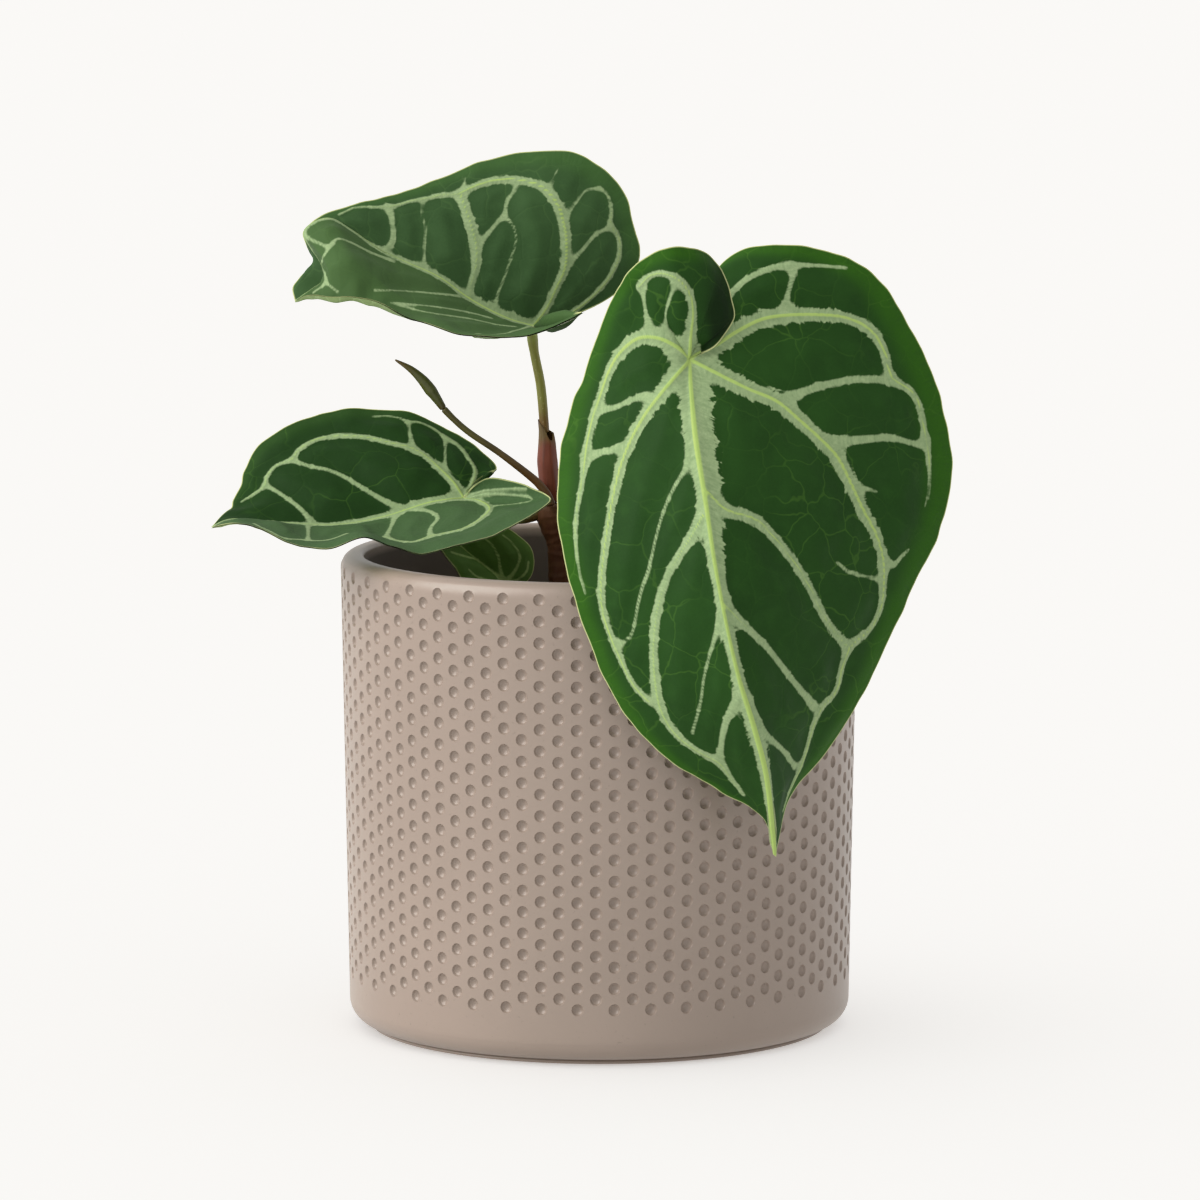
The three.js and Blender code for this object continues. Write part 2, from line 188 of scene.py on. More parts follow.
def setPlaces(bm, places):
    for vertex, place in zip(bm.verts, places):
        vertex.co = place


def getPlaces(bm):
    return np.array([v.co for v in bm.verts])


def getNormals(bm):
    bm.normal_update()
    return np.array([v.normal for v in bm.verts])


def storeValues(bm, **values):
    for name, column in values.items():
        layer = bm.verts.layers.float.get(name) or bm.verts.layers.float.new(name)
        for vertex, value in zip(bm.verts, column):
            vertex[layer] = value


def finishPiece(bm, name, materials, replaced=()):
    for face in bm.faces:
        face.smooth = True
    mesh = bpy.data.meshes.new(name)
    bm.to_mesh(mesh)
    bm.free()
    piece = bpy.data.objects.new(name, mesh)
    scene.collection.objects.link(piece)
    for material in materials:
        mesh.materials.append(material)
    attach(piece, "root")
    if replaced:
        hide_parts(*replaced)
    print(f"{name}: {sum(len(p.vertices) - 2 for p in mesh.polygons)} triangles")
    return piece


# camera
cameraPlace = {"location": Vector((0.000213, -2.072, 0.401)), "pitch": 7.62, "lens": 216, "sensor": 36}
framePixels = 1200


def makeCamera():
    camera = bpy.data.objects.new("camera", bpy.data.cameras.new("camera"))
    camera.data.lens = cameraPlace["lens"]
    camera.data.sensor_width = cameraPlace["sensor"]
    camera.data.clip_end = 100
    camera.location = cameraPlace["location"]
    camera.rotation_euler = (math.radians(90 - cameraPlace["pitch"]), 0, 0)
    scene.collection.objects.link(camera)
    scene.camera = camera


def inFrame(points):
    # places in metres to pixels of the square frame
    pitch = math.radians(cameraPlace["pitch"])
    ahead = np.array([0, math.cos(pitch), -math.sin(pitch)])
    upwards = np.array([0, math.sin(pitch), math.cos(pitch)])
    offset = points - np.array(cameraPlace["location"])
    focal = framePixels * cameraPlace["lens"] / cameraPlace["sensor"]
    depth = offset @ ahead
    return np.stack([framePixels / 2 + focal * offset[..., 0] / depth,
                     framePixels / 2 - focal * (offset @ upwards) / depth], -1)


def seenAt(points):
    # pixels across and down with a depth y in millimetres, to places in metres
    across, down, y = np.array(points, float).T
    pitch = math.radians(cameraPlace["pitch"])
    focal = framePixels * cameraPlace["lens"] / cameraPlace["sensor"]
    location = cameraPlace["location"]
    rise = (framePixels / 2 - down) / focal
    reach = (y * mm - location[1]) / (math.cos(pitch) + rise * math.sin(pitch))
    right = (across - framePixels / 2) / focal
    return np.stack([location[0] + reach * right, y * mm,
                     location[2] + reach * (rise * math.cos(pitch) - math.sin(pitch))], -1)


makeCamera()


# light and floor
lightSettings = {
    "sky": (1.0, 0.992, 0.978, 1), "skyStrength": 0.82, "sideFall": 0.2,
    "key": {"strength": 3.0, "angle": 50, "turn": (57, 0, -66), "colour": (1.0, 0.985, 0.96)},
    "backdrop": srgb(251, 250, 248),
    "floorSize": 30, "floorColour": (0.93, 0.925, 0.915, 1), "floorGlow": 0.38,
    "shoulder": 0.72, "whites": (0.965, 0.956, 0.939), "whiteFrom": 1.14,
}


def makeStage():
    s = lightSettings
    world = bpy.data.worlds.new("studio")
    world.use_nodes = True
    tree = world.node_tree
    link = tree.links.new
    sky = tree.nodes["Background"]
    backdrop = tree.nodes.new("ShaderNodeBackground")
    direction = tree.nodes.new("ShaderNodeTexCoord")
    split = tree.nodes.new("ShaderNodeSeparateXYZ")
    fall = tree.nodes.new("ShaderNodeMath")
    seen = tree.nodes.new("ShaderNodeLightPath")
    mix = tree.nodes.new("ShaderNodeMixShader")
    fall.operation = "MULTIPLY_ADD"
    fall.inputs[1].default_value = -s["sideFall"] * s["skyStrength"]
    fall.inputs[2].default_value = s["skyStrength"]
    sky.inputs["Color"].default_value = s["sky"]
    backdrop.inputs["Color"].default_value = s["backdrop"]
    link(direction.outputs["Generated"], split.inputs[0])
    link(split.outputs[0], fall.inputs[0])
    link(fall.outputs[0], sky.inputs["Strength"])
    link(seen.outputs["Is Camera Ray"], mix.inputs[0])
    link(sky.outputs[0], mix.inputs[1])
    link(backdrop.outputs[0], mix.inputs[2])
    link(mix.outputs[0], tree.nodes["World Output"].inputs[0])
    scene.world = world
    lamp = bpy.data.lights.new("key", "SUN")
    lamp.energy = s["key"]["strength"]
    lamp.angle = math.radians(s["key"]["angle"])
    lamp.color = s["key"]["colour"]
    sun = bpy.data.objects.new("key", lamp)
    sun.rotation_euler = [math.radians(angle) for angle in s["key"]["turn"]]
    scene.collection.objects.link(sun)
    bm = bmesh.new()
    bmesh.ops.create_grid(bm, x_segments=1, y_segments=1, size=s["floorSize"] / 2)
    mesh = bpy.data.meshes.new("floor")
    bm.to_mesh(mesh)
    bm.free()
    graph = Graph("floor")
    mesh.materials.append(graph.surface(s["floorColour"], 0.9, Specular_IOR_Level=0.1,
                                        Emission_Color=s["floorColour"], Emission_Strength=s["floorGlow"]))
    floor = bpy.data.objects.new("floor", mesh)
    floor.location.z = -0.0002
    scene.collection.objects.link(floor)
    # the floor is a light table: the key leaves it alone
    unlit = bpy.data.collections.new("keyOnly")
    unlit.objects.link(floor)
    sun.light_linking.receiver_collection = unlit
    unlit.collection_objects[0].light_linking.link_state = "EXCLUDE"
    # whites roll off softly instead of clipping
    view = scene.view_settings
    view.view_transform = "Standard"
    view.use_curve_mapping = True
    mapping = view.curve_mapping
    mapping.extend = "HORIZONTAL"
    mapping.clip_max_x = 2
    for curve, white in zip(mapping.curves, s["whites"]):
        curve.points[1].location = (s["whiteFrom"], white)
        curve.points.new(s["shoulder"], s["shoulder"])
        curve.points.new(s["shoulder"] / 2, s["shoulder"] / 2)
        curve.points.new(s["whiteFrom"] + 0.3, white)
    mapping.update()


makeStage()
print("camera, light and floor")


# pot
potSettings = {
    "rimRadius": 75, "baseRadius": 72.9, "height": 138, "wall": 6.8,
    "footRadius": 67, "footHeight": 1.2, "baseRounding": 6.5, "footRounding": 0.4,
    "rimRounding": 4, "lipRounding": 1.6, "floor": 8, "innerFloorRadius": 64.5,
    "columns": 88, "rows": 20, "topRow": 133.5, "rowPitch": 6.15, "columnTurn": -4.8,
    "plainStep": 3.5, "innerRimDrop": 4,
    "dimpleRings": [(1.8, 0.0), (1.44, 0.62), (0.8, 1.04)], "dimpleDepth": 1.3,
}


def potOutline():
    # along the outside from the middle of the base, over the rim and down the inside: run, radius, height;
    # on the outer wall the run is the height
    s = potSettings
    def turn(x, z, radius, start, end, count):
        angles = [math.radians(angle) for angle in np.linspace(start, end, count)]
        return [(x + radius * math.cos(angle), z + radius * math.sin(angle)) for angle in angles]
    wallFoot = s["footHeight"] + s["baseRounding"]
    outline = [(0, 0), (60, 0)]
    outline += turn(s["footRadius"] - s["footRounding"], s["footRounding"], s["footRounding"], -90, 0, 4)
    outline += [(s["footRadius"] - 0.1, s["footHeight"] - 0.2), (s["footRadius"] - 0.7, s["footHeight"])]
    outline += turn(s["baseRadius"] - s["baseRounding"], wallFoot, s["baseRounding"], -84, 0, 10)
    foot = len(outline) - 1
    top = s["height"]
    outline += turn(s["rimRadius"] - s["rimRounding"], top - s["rimRounding"], s["rimRounding"], 0, 90, 25)
    lip = s["rimRadius"] - s["wall"]
    outline += turn(lip + s["lipRounding"], top - s["lipRounding"], s["lipRounding"], 90, 180, 7)
    start = top - s["innerRimDrop"]
    outline += [(lip - (lip - s["innerFloorRadius"]) * k / 8, start - (start - s["floor"]) * k / 8)
                for k in range(9)]
    outline += [(s["innerFloorRadius"] - 3, s["floor"]), (0, s["floor"])]
    outline = np.array(outline, float)
    run = np.r_[0, np.cumsum(np.linalg.norm(np.diff(outline, axis=0), axis=1))]
    return run - run[foot] + wallFoot, outline


def dimpleCell(width, height):
    # one hollow in a cell whose edge has two steps a side and four up, so that staggered cells meet
    bm = bmesh.new()
    bmesh.ops.create_circle(bm, segments=12, radius=1, cap_ends=True)
    face = bm.faces[:][0]
    for vertex in bm.verts:
        x, y = vertex.co.x, vertex.co.y
        vertex.co = (width / 2 * min(1, max(-1, round(2 * x, 6))), height / 4 * round(2 * y), 0)
    angles = [k * math.pi / 6 for k in range(12)]
    for radius, depth in potSettings["dimpleRings"]:
        bmesh.ops.inset_individual(bm, faces=[face], thickness=0.15)
        for vertex in face.verts:
            seen = math.atan2(vertex.co.y, vertex.co.x)
            angle = min(angles, key=lambda a: abs(math.remainder(a - seen, 2 * math.pi)))
            vertex.co = (radius * math.cos(angle), radius * math.sin(angle), -depth)
        if depth == 0:
            for edge in face.edges:
                edge.smooth = False
    centre = bmesh.ops.poke(bm, faces=[face])["verts"][0]
    centre.co = (0, 0, -potSettings["dimpleDepth"])
    return bm


def repeat(bm, parts, offsets):
    for offset in offsets:
        copy = bmesh.ops.duplicate(bm, geom=parts)["geom"]
        moved = [item for item in copy if isinstance(item, bmesh.types.BMVert)]
        bmesh.ops.translate(bm, verts=moved, vec=offset)


def addFlat(bm, xSteps, ySteps, corner, size):
    made = bmesh.ops.create_grid(bm, x_segments=xSteps, y_segments=ySteps, size=0.5)["verts"]
    middle = Vector((corner[0] + size[0] / 2, corner[1] + size[1] / 2, 0))
    bmesh.ops.scale(bm, verts=made, vec=(size[0], size[1], 1))
    bmesh.ops.translate(bm, verts=made, vec=middle)
    return made


def makePot():
    s = potSettings
    width = 2 * math.pi * s["rimRadius"] / s["columns"]
    pitch = s["rowPitch"]
    bm = dimpleCell(width, pitch)
    cell = bm.verts[:] + bm.edges[:] + bm.faces[:]
    bmesh.ops.translate(bm, verts=bm.verts, vec=(width / 2, s["topRow"], 0))
    repeat(bm, cell, [(0, -pitch * k, 0) for k in range(1, s["rows"])])
    repeat(bm, cell, [(width, -pitch * (k + 0.5), 0) for k in range(s["rows"] - 1)])
    top = s["topRow"] + pitch / 2
    bottom = top - pitch * s["rows"]
    addFlat(bm, 2, 2, (width, top - pitch / 2), (width, pitch / 2))
    addFlat(bm, 2, 2, (width, bottom), (width, pitch / 2))
    pair = bm.verts[:] + bm.edges[:] + bm.faces[:]
    repeat(bm, pair, [(2 * width * k, 0, 0) for k in range(1, s["columns"] // 2)])
    run, outline = potOutline()
    step = s["plainStep"]
    bands = [[r for r in run if r < bottom - 0.5] + [bottom - 2 * step, bottom - step, bottom],
             [top] + [r for r in run if r > top + 0.3]]
    for band in bands:
        band = sorted(band)
        made = addFlat(bm, 2 * s["columns"], len(band) - 1, (0, 0), (width * s["columns"], 1))
        for vertex in made:
            vertex.co.y = band[round(vertex.co.y * (len(band) - 1))]
    flat = getPlaces(bm)
    def onOutline(at):
        return np.stack([np.interp(at, run, column) for column in outline.T], -1)
    radius, height = onOutline(flat[:, 1]).T
    lean = 0.05
    along = unit(onOutline(flat[:, 1] + lean) - onOutline(flat[:, 1] - lean))
    radius += flat[:, 2] * along[:, 1]
    height -= flat[:, 2] * along[:, 0]
    turn = flat[:, 0] / (width * s["columns"]) * 2 * math.pi
    turn += math.radians(s["columnTurn"] - 90 - 180 / s["columns"])
    places = np.stack([radius * np.cos(turn), radius * np.sin(turn), height], -1) * mm
    setPlaces(bm, places)
    isInside = flat[:, 1] > s["height"] + s["wall"] - s["lipRounding"]
    # painted shade: the inside wall and floor darken from just below the rim downwards, where shade falls
    # inside the pot
    storeValues(bm, inside=isInside * smoothStep(s["height"] - height, 1.2, 3.8))
    bmesh.ops.remove_doubles(bm, verts=bm.verts, dist=2e-5)
    bmesh.ops.recalc_face_normals(bm, faces=bm.faces)
    graph = Graph("stoneware")
    place = graph.place()
    cloud = graph.noise(place, 22, 3)
    speck = graph.noise(place, 900, 2)
    colour = graph.mix(cloud, srgb(133, 119, 108), srgb(145, 130, 119))
    colour = graph.mix(graph.soft(speck, 0.66, 0.8) * 0.35, colour, srgb(96, 85, 76))
    inside = graph.attribute("inside")
    # painted shade inside the pot, mottled a little by the cloud noise
    colour = graph.mix(inside * (cloud * 0.3 + 0.7), colour, srgb(56, 48, 40))
    normal = graph.bump(graph.noise(place, 420, 3), 0.00006, 0.6)
    material = graph.surface(colour, inside * 0.4 + 0.36, normal, Specular_IOR_Level=0.5)
    finishPiece(bm, "dimpledPot", [material], ["pot"])


makePot()


# leaves: a point of a midrib or margin is two pixels of the frame and a depth y in millimetres
leaves = {
    "leaf_large": {
        "fan": 0.3, "fanPower": 1.15, "rows": 288, "columns": 78,
        "midrib": [(688, 359, -74), (690, 390, -79), (695, 436, -88), (705, 500, -95), (717, 578, -102),
                   (738, 676, -104), (754, 728, -100), (766, 775, -92), (775, 856, -78)],
        "left": {
            "margin": [(688, 359, -74), (709, 292, -60), (732, 256, -54), (790, 245, -53), (866, 269, -49),
                       (913, 333, -47), (940, 400, -47), (951, 472, -49), (937, 536, -54), (906, 600, -60),
                       (868, 680, -66), (822, 755, -71), (798, 784, -74), (785, 808, -76), (775, 856, -78)],
            "arch": [(0, 0), (0.2, 0.04), (0.4, 0.03), (0.7, 0.03), (1, 0)],
        },
        "right": {
            "margin": [(688, 359, -74), (716, 347, -77), (734, 318, -73), (713, 261, -72), (670, 247, -80),
                       (638, 263, -75), (610, 306, -67), (589, 364, -65), (569, 420, -67), (558, 486, -73),
                       (563, 552, -79.5), (586, 631, -81.5), (617, 699, -82), (660, 750, -82),
                       (720, 789, -81), (763, 817, -80), (775, 856, -78)],
            "arch": [(0, 0), (0.08, 0.06), (0.2, 0.12), (0.3, 0.05), (0.45, 0.03), (0.7, 0.03), (1, 0)],
            "curl": [(0, 0), (0.05, 2.5), (0.1, 4), (0.17, 3.5), (0.22, 0), (1, 0)],
        },
    },
    "leaf_upper": {
        "fan": 0.3, "fanPower": 1.1, "rows": 240, "columns": 60,
        "midrib": [(532, 327, 0), (507, 320, -2), (470, 301, -3), (438, 278, -4), (403, 262, -5),
                   (376, 249, -6), (350, 231, -7), (330, 220, -8), (314, 224, -9), (305, 233, -10),
                   (312, 247, -10), (322, 262, -11), (326, 279, -13), (312, 291, -16), (295, 302, -18)],
        "left": {
            "margin": [(532, 327, 0), (543, 327, -8), (559, 320, -20), (576, 316, -30), (585, 313, -38),
                       (564, 323, -44), (532, 335, -46), (497, 340, -46), (461, 336, -44), (429, 326, -41),
                       (403, 317, -38), (380, 304, -35), (359, 299, -32), (339, 297, -29), (321, 296, -26),
                       (306, 296, -22), (295, 302, -18)],
            "arch": [(0, 0), (0.3, -0.05), (0.6, -0.05), (0.8, 0.05), (1, 0)],
            "sweep": [(0, 0), (0.7, 0), (0.85, -0.15), (0.95, -0.1), (1, 0)],
            "droop": [(0, 0), (0.55, 0), (0.72, 5), (0.82, 5), (0.93, 2), (1, 0)],
        },
        "right": {
            "margin": [(532, 327, 0), (555, 321, 2), (585, 311, 6), (612, 296, 10), (633, 273, 13),
                       (639, 250, 14), (632, 223, 15), (627, 197, 16), (608, 174, 17), (573, 153, 18),
                       (527, 153, 18), (479, 163, 15), (429, 184, 10), (376, 199, 4), (325, 214, -2),
                       (310, 225, -3), (303, 234, -4), (309, 247, -5), (318, 263, -6), (303, 275, -9),
                       (293, 288, -13), (295, 302, -18)],
            "arch": [(0, 0), (0.2, 0.02), (0.5, 0.05), (0.8, 0.05), (1, 0)],
        },
    },
    "leaf_lower": {
        "fan": 0.3, "fanPower": 1.1, "rows": 240, "columns": 60,
        "midrib": [(464, 499, -6), (430, 504, -8), (384, 518, -10), (338, 526, -12), (280, 524, -14),
                   (230, 521, -17), (211, 528, -19)],
        "left": {
            "margin": [(464, 499, -6), (473, 486, -8), (487, 478, -10), (508, 480, -14), (531, 487, -20),
                       (552, 500, -28), (531, 517, -36), (498, 534, -42), (459, 548, -46), (420, 554, -47),
                       (391, 548, -46), (363, 538, -44), (331, 550, -44), (301, 547, -40), (273, 535, -35),
                       (246, 525, -29), (228, 525, -24), (211, 528, -19)],
            "arch": [(0, 0), (0.3, -0.04), (0.6, -0.04), (0.8, 0.02), (1, 0)],
        },
        "right": {
            "margin": [(464, 499, -6), (466, 492, -5), (472, 484, -3), (479, 478, -1), (488, 473, 1),
                       (497, 470, 3), (492, 462, 6), (473, 445, 10), (443, 428, 14), (407, 413, 16),
                       (365, 409, 17), (319, 416, 16), (285, 428, 13), (256, 451, 9), (245, 471, 5),
                       (242, 486, 1), (233, 501, -4), (232, 510, -8), (221, 517, -13), (211, 528, -19)],
            "arch": [(0, 0), (0.2, 0.04), (0.5, 0.06), (0.8, 0.05), (1, 0)],
        },
    },
    "leaf_small": {
        "fan": 0.25, "fanPower": 1.1, "rows": 96, "columns": 26,
        "midrib": [(504, 583, 6), (489, 570, 5), (473, 558, 3), (455, 542, 1), (432, 515, 0)],
        "left": {
            "margin": [(504, 583, 6), (501, 589, 3), (490, 592, -1), (475, 590, -4), (463, 582, -6),
                       (455, 569, -7), (445, 557, -7), (438, 545, -6), (433, 531, -3), (432, 515, 0)],
            "arch": [(0, 0), (0.5, 0.08), (1, 0)],
        },
        "right": {
            "margin": [(504, 583, 6), (512, 586, 8), (523, 584, 10), (532, 574, 12), (534, 561, 13),
                       (530, 548, 13), (520, 537, 12), (505, 527, 10), (487, 520, 8), (457, 515, 4),
                       (432, 515, 0)],
            "arch": [(0, 0), (0.5, 0.08), (1, 0)],
        },
    },
}

# Each vein: half-widths of its pale band from its start to its end in millimetres, height of its ridge from
# 0 to 1, and the points that it passes through, in pixels of the frame enlarged from a corner of it, which
# count as the nearest whole pixels of the frame. A midrib has half-widths to either side.
veins = {
    "leaf_large": {
        "corner": (540, 220), "enlarged": 2,
        "midrib": {"left": (5.4, 5.6, 4.8, 3.3, 1.9, 2.0, 2.1, 1.5, 0.9),
                   "right": (3.4, 3.0, 2.2, 1.8, 1.4, 1.7, 1.9, 1.5, 0.9)},
        "left": {
            "lobeCollective": ((3.4, 2.6, 2.2, 1.9, 1.6, 1.6, 1.1, 1.0, 0.8, 0.25), 1, [
                (298, 280), (320, 266), (348, 252), (392, 224), (440, 200), (480, 192), (550, 190),
                (610, 197), (655, 218), (685, 255), (703, 318), (740, 342), (760, 382), (768, 435),
                (775, 490), (775, 545), (768, 572)]),
            "lobeTop": ((1.4, 1.3, 0.9, 0.8, 0.6, 0.3), 0.5, [
                (298, 280), (330, 230), (360, 180), (388, 142), (415, 118), (455, 100), (500, 92), (560, 92),
                (612, 98)]),
            "lobeCross": ((0.9, 0.6, 0.8), 0, [(488, 190), (494, 152), (505, 110), (500, 94)]),
            "mainLateral": ((3.0, 2.8, 2.5, 2.2, 2.3, 2.1, 1.7, 1.4, 1.0, 1.2, 1.1, 0.9, 0.8, 0.5), 1, [
                (298, 280), (356, 310), (416, 340), (472, 364), (520, 404), (560, 440), (592, 474),
                (616, 520), (642, 576), (670, 630), (685, 680), (685, 735), (675, 785), (655, 820),
                (620, 850), (602, 890), (590, 940), (560, 975), (546, 1005), (530, 1060), (515, 1100),
                (495, 1145), (484, 1180)]),
            "cross1": ((1.3, 1.0, 0.9, 0.9), 0.3, [
                (495, 355), (550, 335), (610, 322), (660, 320), (705, 322)]),
            "cross2": ((1.5, 1.1, 0.8, 0.8), 0.3, [
                (585, 445), (640, 440), (700, 436), (755, 447), (770, 440)]),
            "twig1": ((0.4, 0.15), 0, [(636, 540), (655, 538), (673, 543)]),
            "twig2": ((0.8, 0.6, 0.3), 0, [(688, 680), (708, 688), (722, 674), (737, 660)]),
            "lateral2": ((2.2, 1.7, 1.4, 1.3, 1.2, 1.2), 0.8, [
                (333, 545), (370, 580), (430, 600), (470, 640), (510, 690), (540, 740), (565, 790),
                (600, 840), (612, 853)]),
            "twig4": ((0.3, 0.5, 0.15), 0, [(592, 683), (610, 700), (624, 706), (672, 718)]),
            "lateral3": ((1.7, 1.0, 0.9, 0.9, 1.1), 0.7, [
                (368, 772), (400, 804), (450, 852), (500, 916), (546, 972)]),
            "lateral4": ((1.2, 0.8, 0.7, 0.8), 0.5, [(408, 958), (452, 1030), (484, 1060), (507, 1092)]),
        },
        "right": {
            "lobeTop": ((2.4, 1.6, 1.2, 1.0, 0.8, 0.6), 1, [
                (298, 280), (300, 232), (304, 176), (294, 140), (272, 116), (244, 106), (220, 112),
                (200, 134)]),
            "lobeCross": ((0.5, 0.45, 0.9), 0, [(206, 132), (212, 180), (222, 225)]),
            "lobeThin": ((0.3, 0.2, 0.3), 0, [(250, 220), (254, 180), (268, 134)]),
            "collective": ((3.2, 2.3, 1.9, 1.5, 1.2, 1.2, 0.9, 0.7, 0.4, 0.2), 1, [
                (298, 280), (272, 254), (238, 236), (200, 236), (162, 266), (138, 308), (120, 360),
                (102, 420), (92, 480), (84, 530), (75, 580), (72, 640), (80, 700), (92, 748)]),
            "mainLateral": ((2.8, 2.2, 1.8, 1.5, 1.3, 1.2, 1.2, 1.1, 0.9, 0.9), 1, [
                (298, 280), (272, 312), (240, 352), (212, 390), (184, 440), (164, 490), (150, 544),
                (138, 610), (128, 680), (124, 740), (128, 784), (144, 834), (165, 880), (190, 930),
                (220, 962)]),
            "cross1": ((0.9, 0.7, 0.9), 0, [(118, 380), (150, 376), (185, 360), (212, 352)]),
            "cross2": ((1.0, 0.8, 1.0), 0, [(94, 478), (130, 465), (168, 455)]),
            "lateral2": ((1.8, 1.3, 1.1, 1.3, 1.4, 1.6, 1.4, 1.1, 1.1, 0.5), 0.8, [
                (328, 590), (296, 646), (260, 704), (240, 764), (230, 830), (230, 900), (245, 980),
                (275, 1030), (320, 1062), (360, 1085), (384, 1116), (408, 1148)]),
            "thin1": ((0.6, 0.4, 0.4, 0.4), 0.3, [
                (302, 460), (292, 496), (270, 534), (248, 584), (232, 640), (220, 692), (200, 756),
                (182, 832), (156, 850)]),
            "thin2": ((0.6, 0.35, 0.4, 0.4), 0.3, [
                (362, 795), (344, 856), (330, 910), (322, 964), (306, 1024)]),
            "lateral3": ((1.4, 1.0, 0.8, 0.8), 0.5, [(398, 955), (374, 1000), (364, 1044), (360, 1085)]),
        },
    },
    "leaf_upper": {
        "corner": (300, 140), "enlarged": 4.355,
        "midrib": {"left": (1.8, 2.0, 1.6, 1.3, 1.0, 0.8, 0.6, 0.5, 0.4, 0.35, 0.3),
                   "right": (2.0, 2.3, 1.8, 1.4, 1.1, 0.8, 0.6, 0.5, 0.4, 0.35, 0.3)},
        "right": {
            "lobe": ((1.0, 0.75, 0.7, 0.7, 0.7, 0.6, 0.3), 1, [
                (1010, 815), (1100, 790), (1200, 735), (1280, 670), (1350, 590), (1385, 510), (1385, 430),
                (1352, 370), (1355, 300), (1335, 240), (1300, 215)]),
            "lobeCross": ((0.6, 0.45, 0.5), 0, [(1168, 540), (1230, 480), (1290, 410), (1345, 385)]),
            "mainLateral": ((1.2, 1.1, 1.3, 1.5, 1.7, 1.4, 1.2, 1.1, 0.8, 0.6, 0.45, 0.35, 0.2), 1, [
                (1010, 815), (1070, 730), (1110, 650), (1150, 560), (1160, 470), (1150, 380), (1130, 300),
                (1090, 240), (1040, 200), (980, 185), (920, 175), (830, 185), (760, 205), (715, 228),
                (690, 238), (620, 245), (560, 255), (480, 272), (400, 290), (320, 295), (230, 300),
                (170, 325)]),
            "lateral2": ((0.9, 0.9, 1.4, 1.5, 1.5, 1.6), 0.8, [
                (740, 700), (740, 640), (760, 560), (765, 470), (745, 380), (720, 300), (695, 240)]),
            "branch": ((0.8, 0.5, 0.45, 0.5), 0.2, [
                (770, 460), (810, 420), (860, 360), (888, 330), (900, 270), (935, 215), (930, 180)]),
            "thin1": ((0.3, 0.3, 0.3, 0.35), 0.1, [
                (890, 335), (925, 370), (940, 430), (925, 500), (890, 600), (860, 680), (850, 740)]),
            "thin2": ((0.3, 0.25, 0.3), 0.1, [(540, 550), (540, 470), (545, 380), (530, 330), (535, 265)]),
            "lateral3": ((0.9, 0.7, 0.6, 0.8), 0.7, [(372, 490), (400, 440), (400, 360), (385, 292)]),
            "outer1": ((0.35, 0.15), 0, [(717, 225), (713, 190), (716, 160)]),
            "outer2": ((0.4, 0.25, 0.25), 0, [(1162, 330), (1200, 270), (1245, 222), (1300, 212)]),
            "outer3": ((0.15, 0.25), 0, [(1120, 120), (1112, 160), (1090, 200)]),
        },
        "left": {
            "tipLateral": ((0.7, 0.5, 0.4, 0.35), 0.6, [
                (400, 530), (300, 490), (220, 455), (160, 435), (130, 465), (80, 448), (25, 418)]),
            "tipCross": ((0.4, 0.35, 0.3), 0, [(130, 465), (100, 530), (118, 620), (60, 665)]),
            "tipTwig": ((0.3, 0.2), 0, [(118, 620), (140, 640), (165, 660)]),
            "thin1": ((0.45, 0.3, 0.2), 0.3, [(688, 684), (562, 671), (449, 662), (327, 658)]),
            "thin2": ((0.6, 0.4, 0.3), 0.6, [(827, 780), (740, 758), (620, 735), (500, 722), (396, 714)]),
            "thin3": ((0.6, 0.4, 0.3), 0.6, [
                (936, 819), (858, 810), (740, 784), (618, 766), (518, 749), (431, 723)]),
            "lobe": ((0.6, 0.4, 0.3), 0.6, [(1010, 815), (940, 838), (860, 852), (760, 850)]),
        },
    },
    "leaf_lower": {
        "corner": (200, 400), "enlarged": 4.355,
        "midrib": {"left": (1.2, 1.1, 0.9, 0.8, 0.7, 0.6, 0.5),
                   "right": (1.9, 2.0, 1.3, 0.9, 0.7, 0.6, 0.5)},
        "right": {
            "lobe": ((0.9, 0.6, 0.5, 0.5, 0.4, 0.3, 0.2), 1, [
                (1150, 430), (1180, 375), (1196, 315), (1168, 255), (1125, 205), (1065, 165), (1005, 125),
                (950, 103), (900, 98), (870, 85), (820, 75), (755, 72)]),
            "lobeThin": ((0.25, 0.4), 0, [(1065, 170), (1065, 240), (1065, 305)]),
            "mainLateral": ((1.5, 1.3, 1.05, 0.9, 0.9, 0.9, 0.8, 0.7, 0.6, 0.5, 0.35), 1, [
                (1150, 430), (1100, 360), (1050, 310), (980, 250), (920, 215), (830, 190), (740, 170),
                (650, 160), (560, 165), (490, 185), (430, 220), (400, 262), (330, 290), (290, 340),
                (282, 380), (230, 420), (185, 450)]),
            "branch": ((0.7, 0.45, 0.3), 0.2, [(938, 228), (920, 170), (905, 108)]),
            "lateral2": ((1.0, 0.7, 0.6, 0.55, 0.6), 0.8, [
                (890, 478), (800, 440), (720, 390), (640, 345), (560, 310), (480, 290), (400, 265)]),
            "lateral3": ((0.8, 0.6, 0.6), 0.5, [
                (490, 538), (440, 480), (380, 430), (320, 390), (285, 375)]),
        },
        "left": {
            "lobe": ((0.25, 0.2, 0.15), 0.6, [(1150, 430), (1230, 400), (1340, 388), (1425, 388)]),
            "lobe2": ((0.4, 0.28, 0.25, 0.22, 0.22, 0.2), 0.8, [
                (1150, 430), (1250, 415), (1350, 412), (1440, 425), (1452, 440), (1380, 457), (1285, 465)]),
            "mainLateral": ((1.2, 1.1, 1.0, 0.9, 0.8, 0.7), 1, [
                (1150, 430), (1215, 445), (1262, 480), (1220, 528), (1150, 565), (1060, 590), (1000, 602),
                (930, 622), (860, 620), (808, 600)]),
            "lateral2": ((0.9, 0.6, 0.6, 0.6), 0.5, [
                (930, 478), (1005, 490), (1035, 520), (1005, 560), (1003, 600)]),
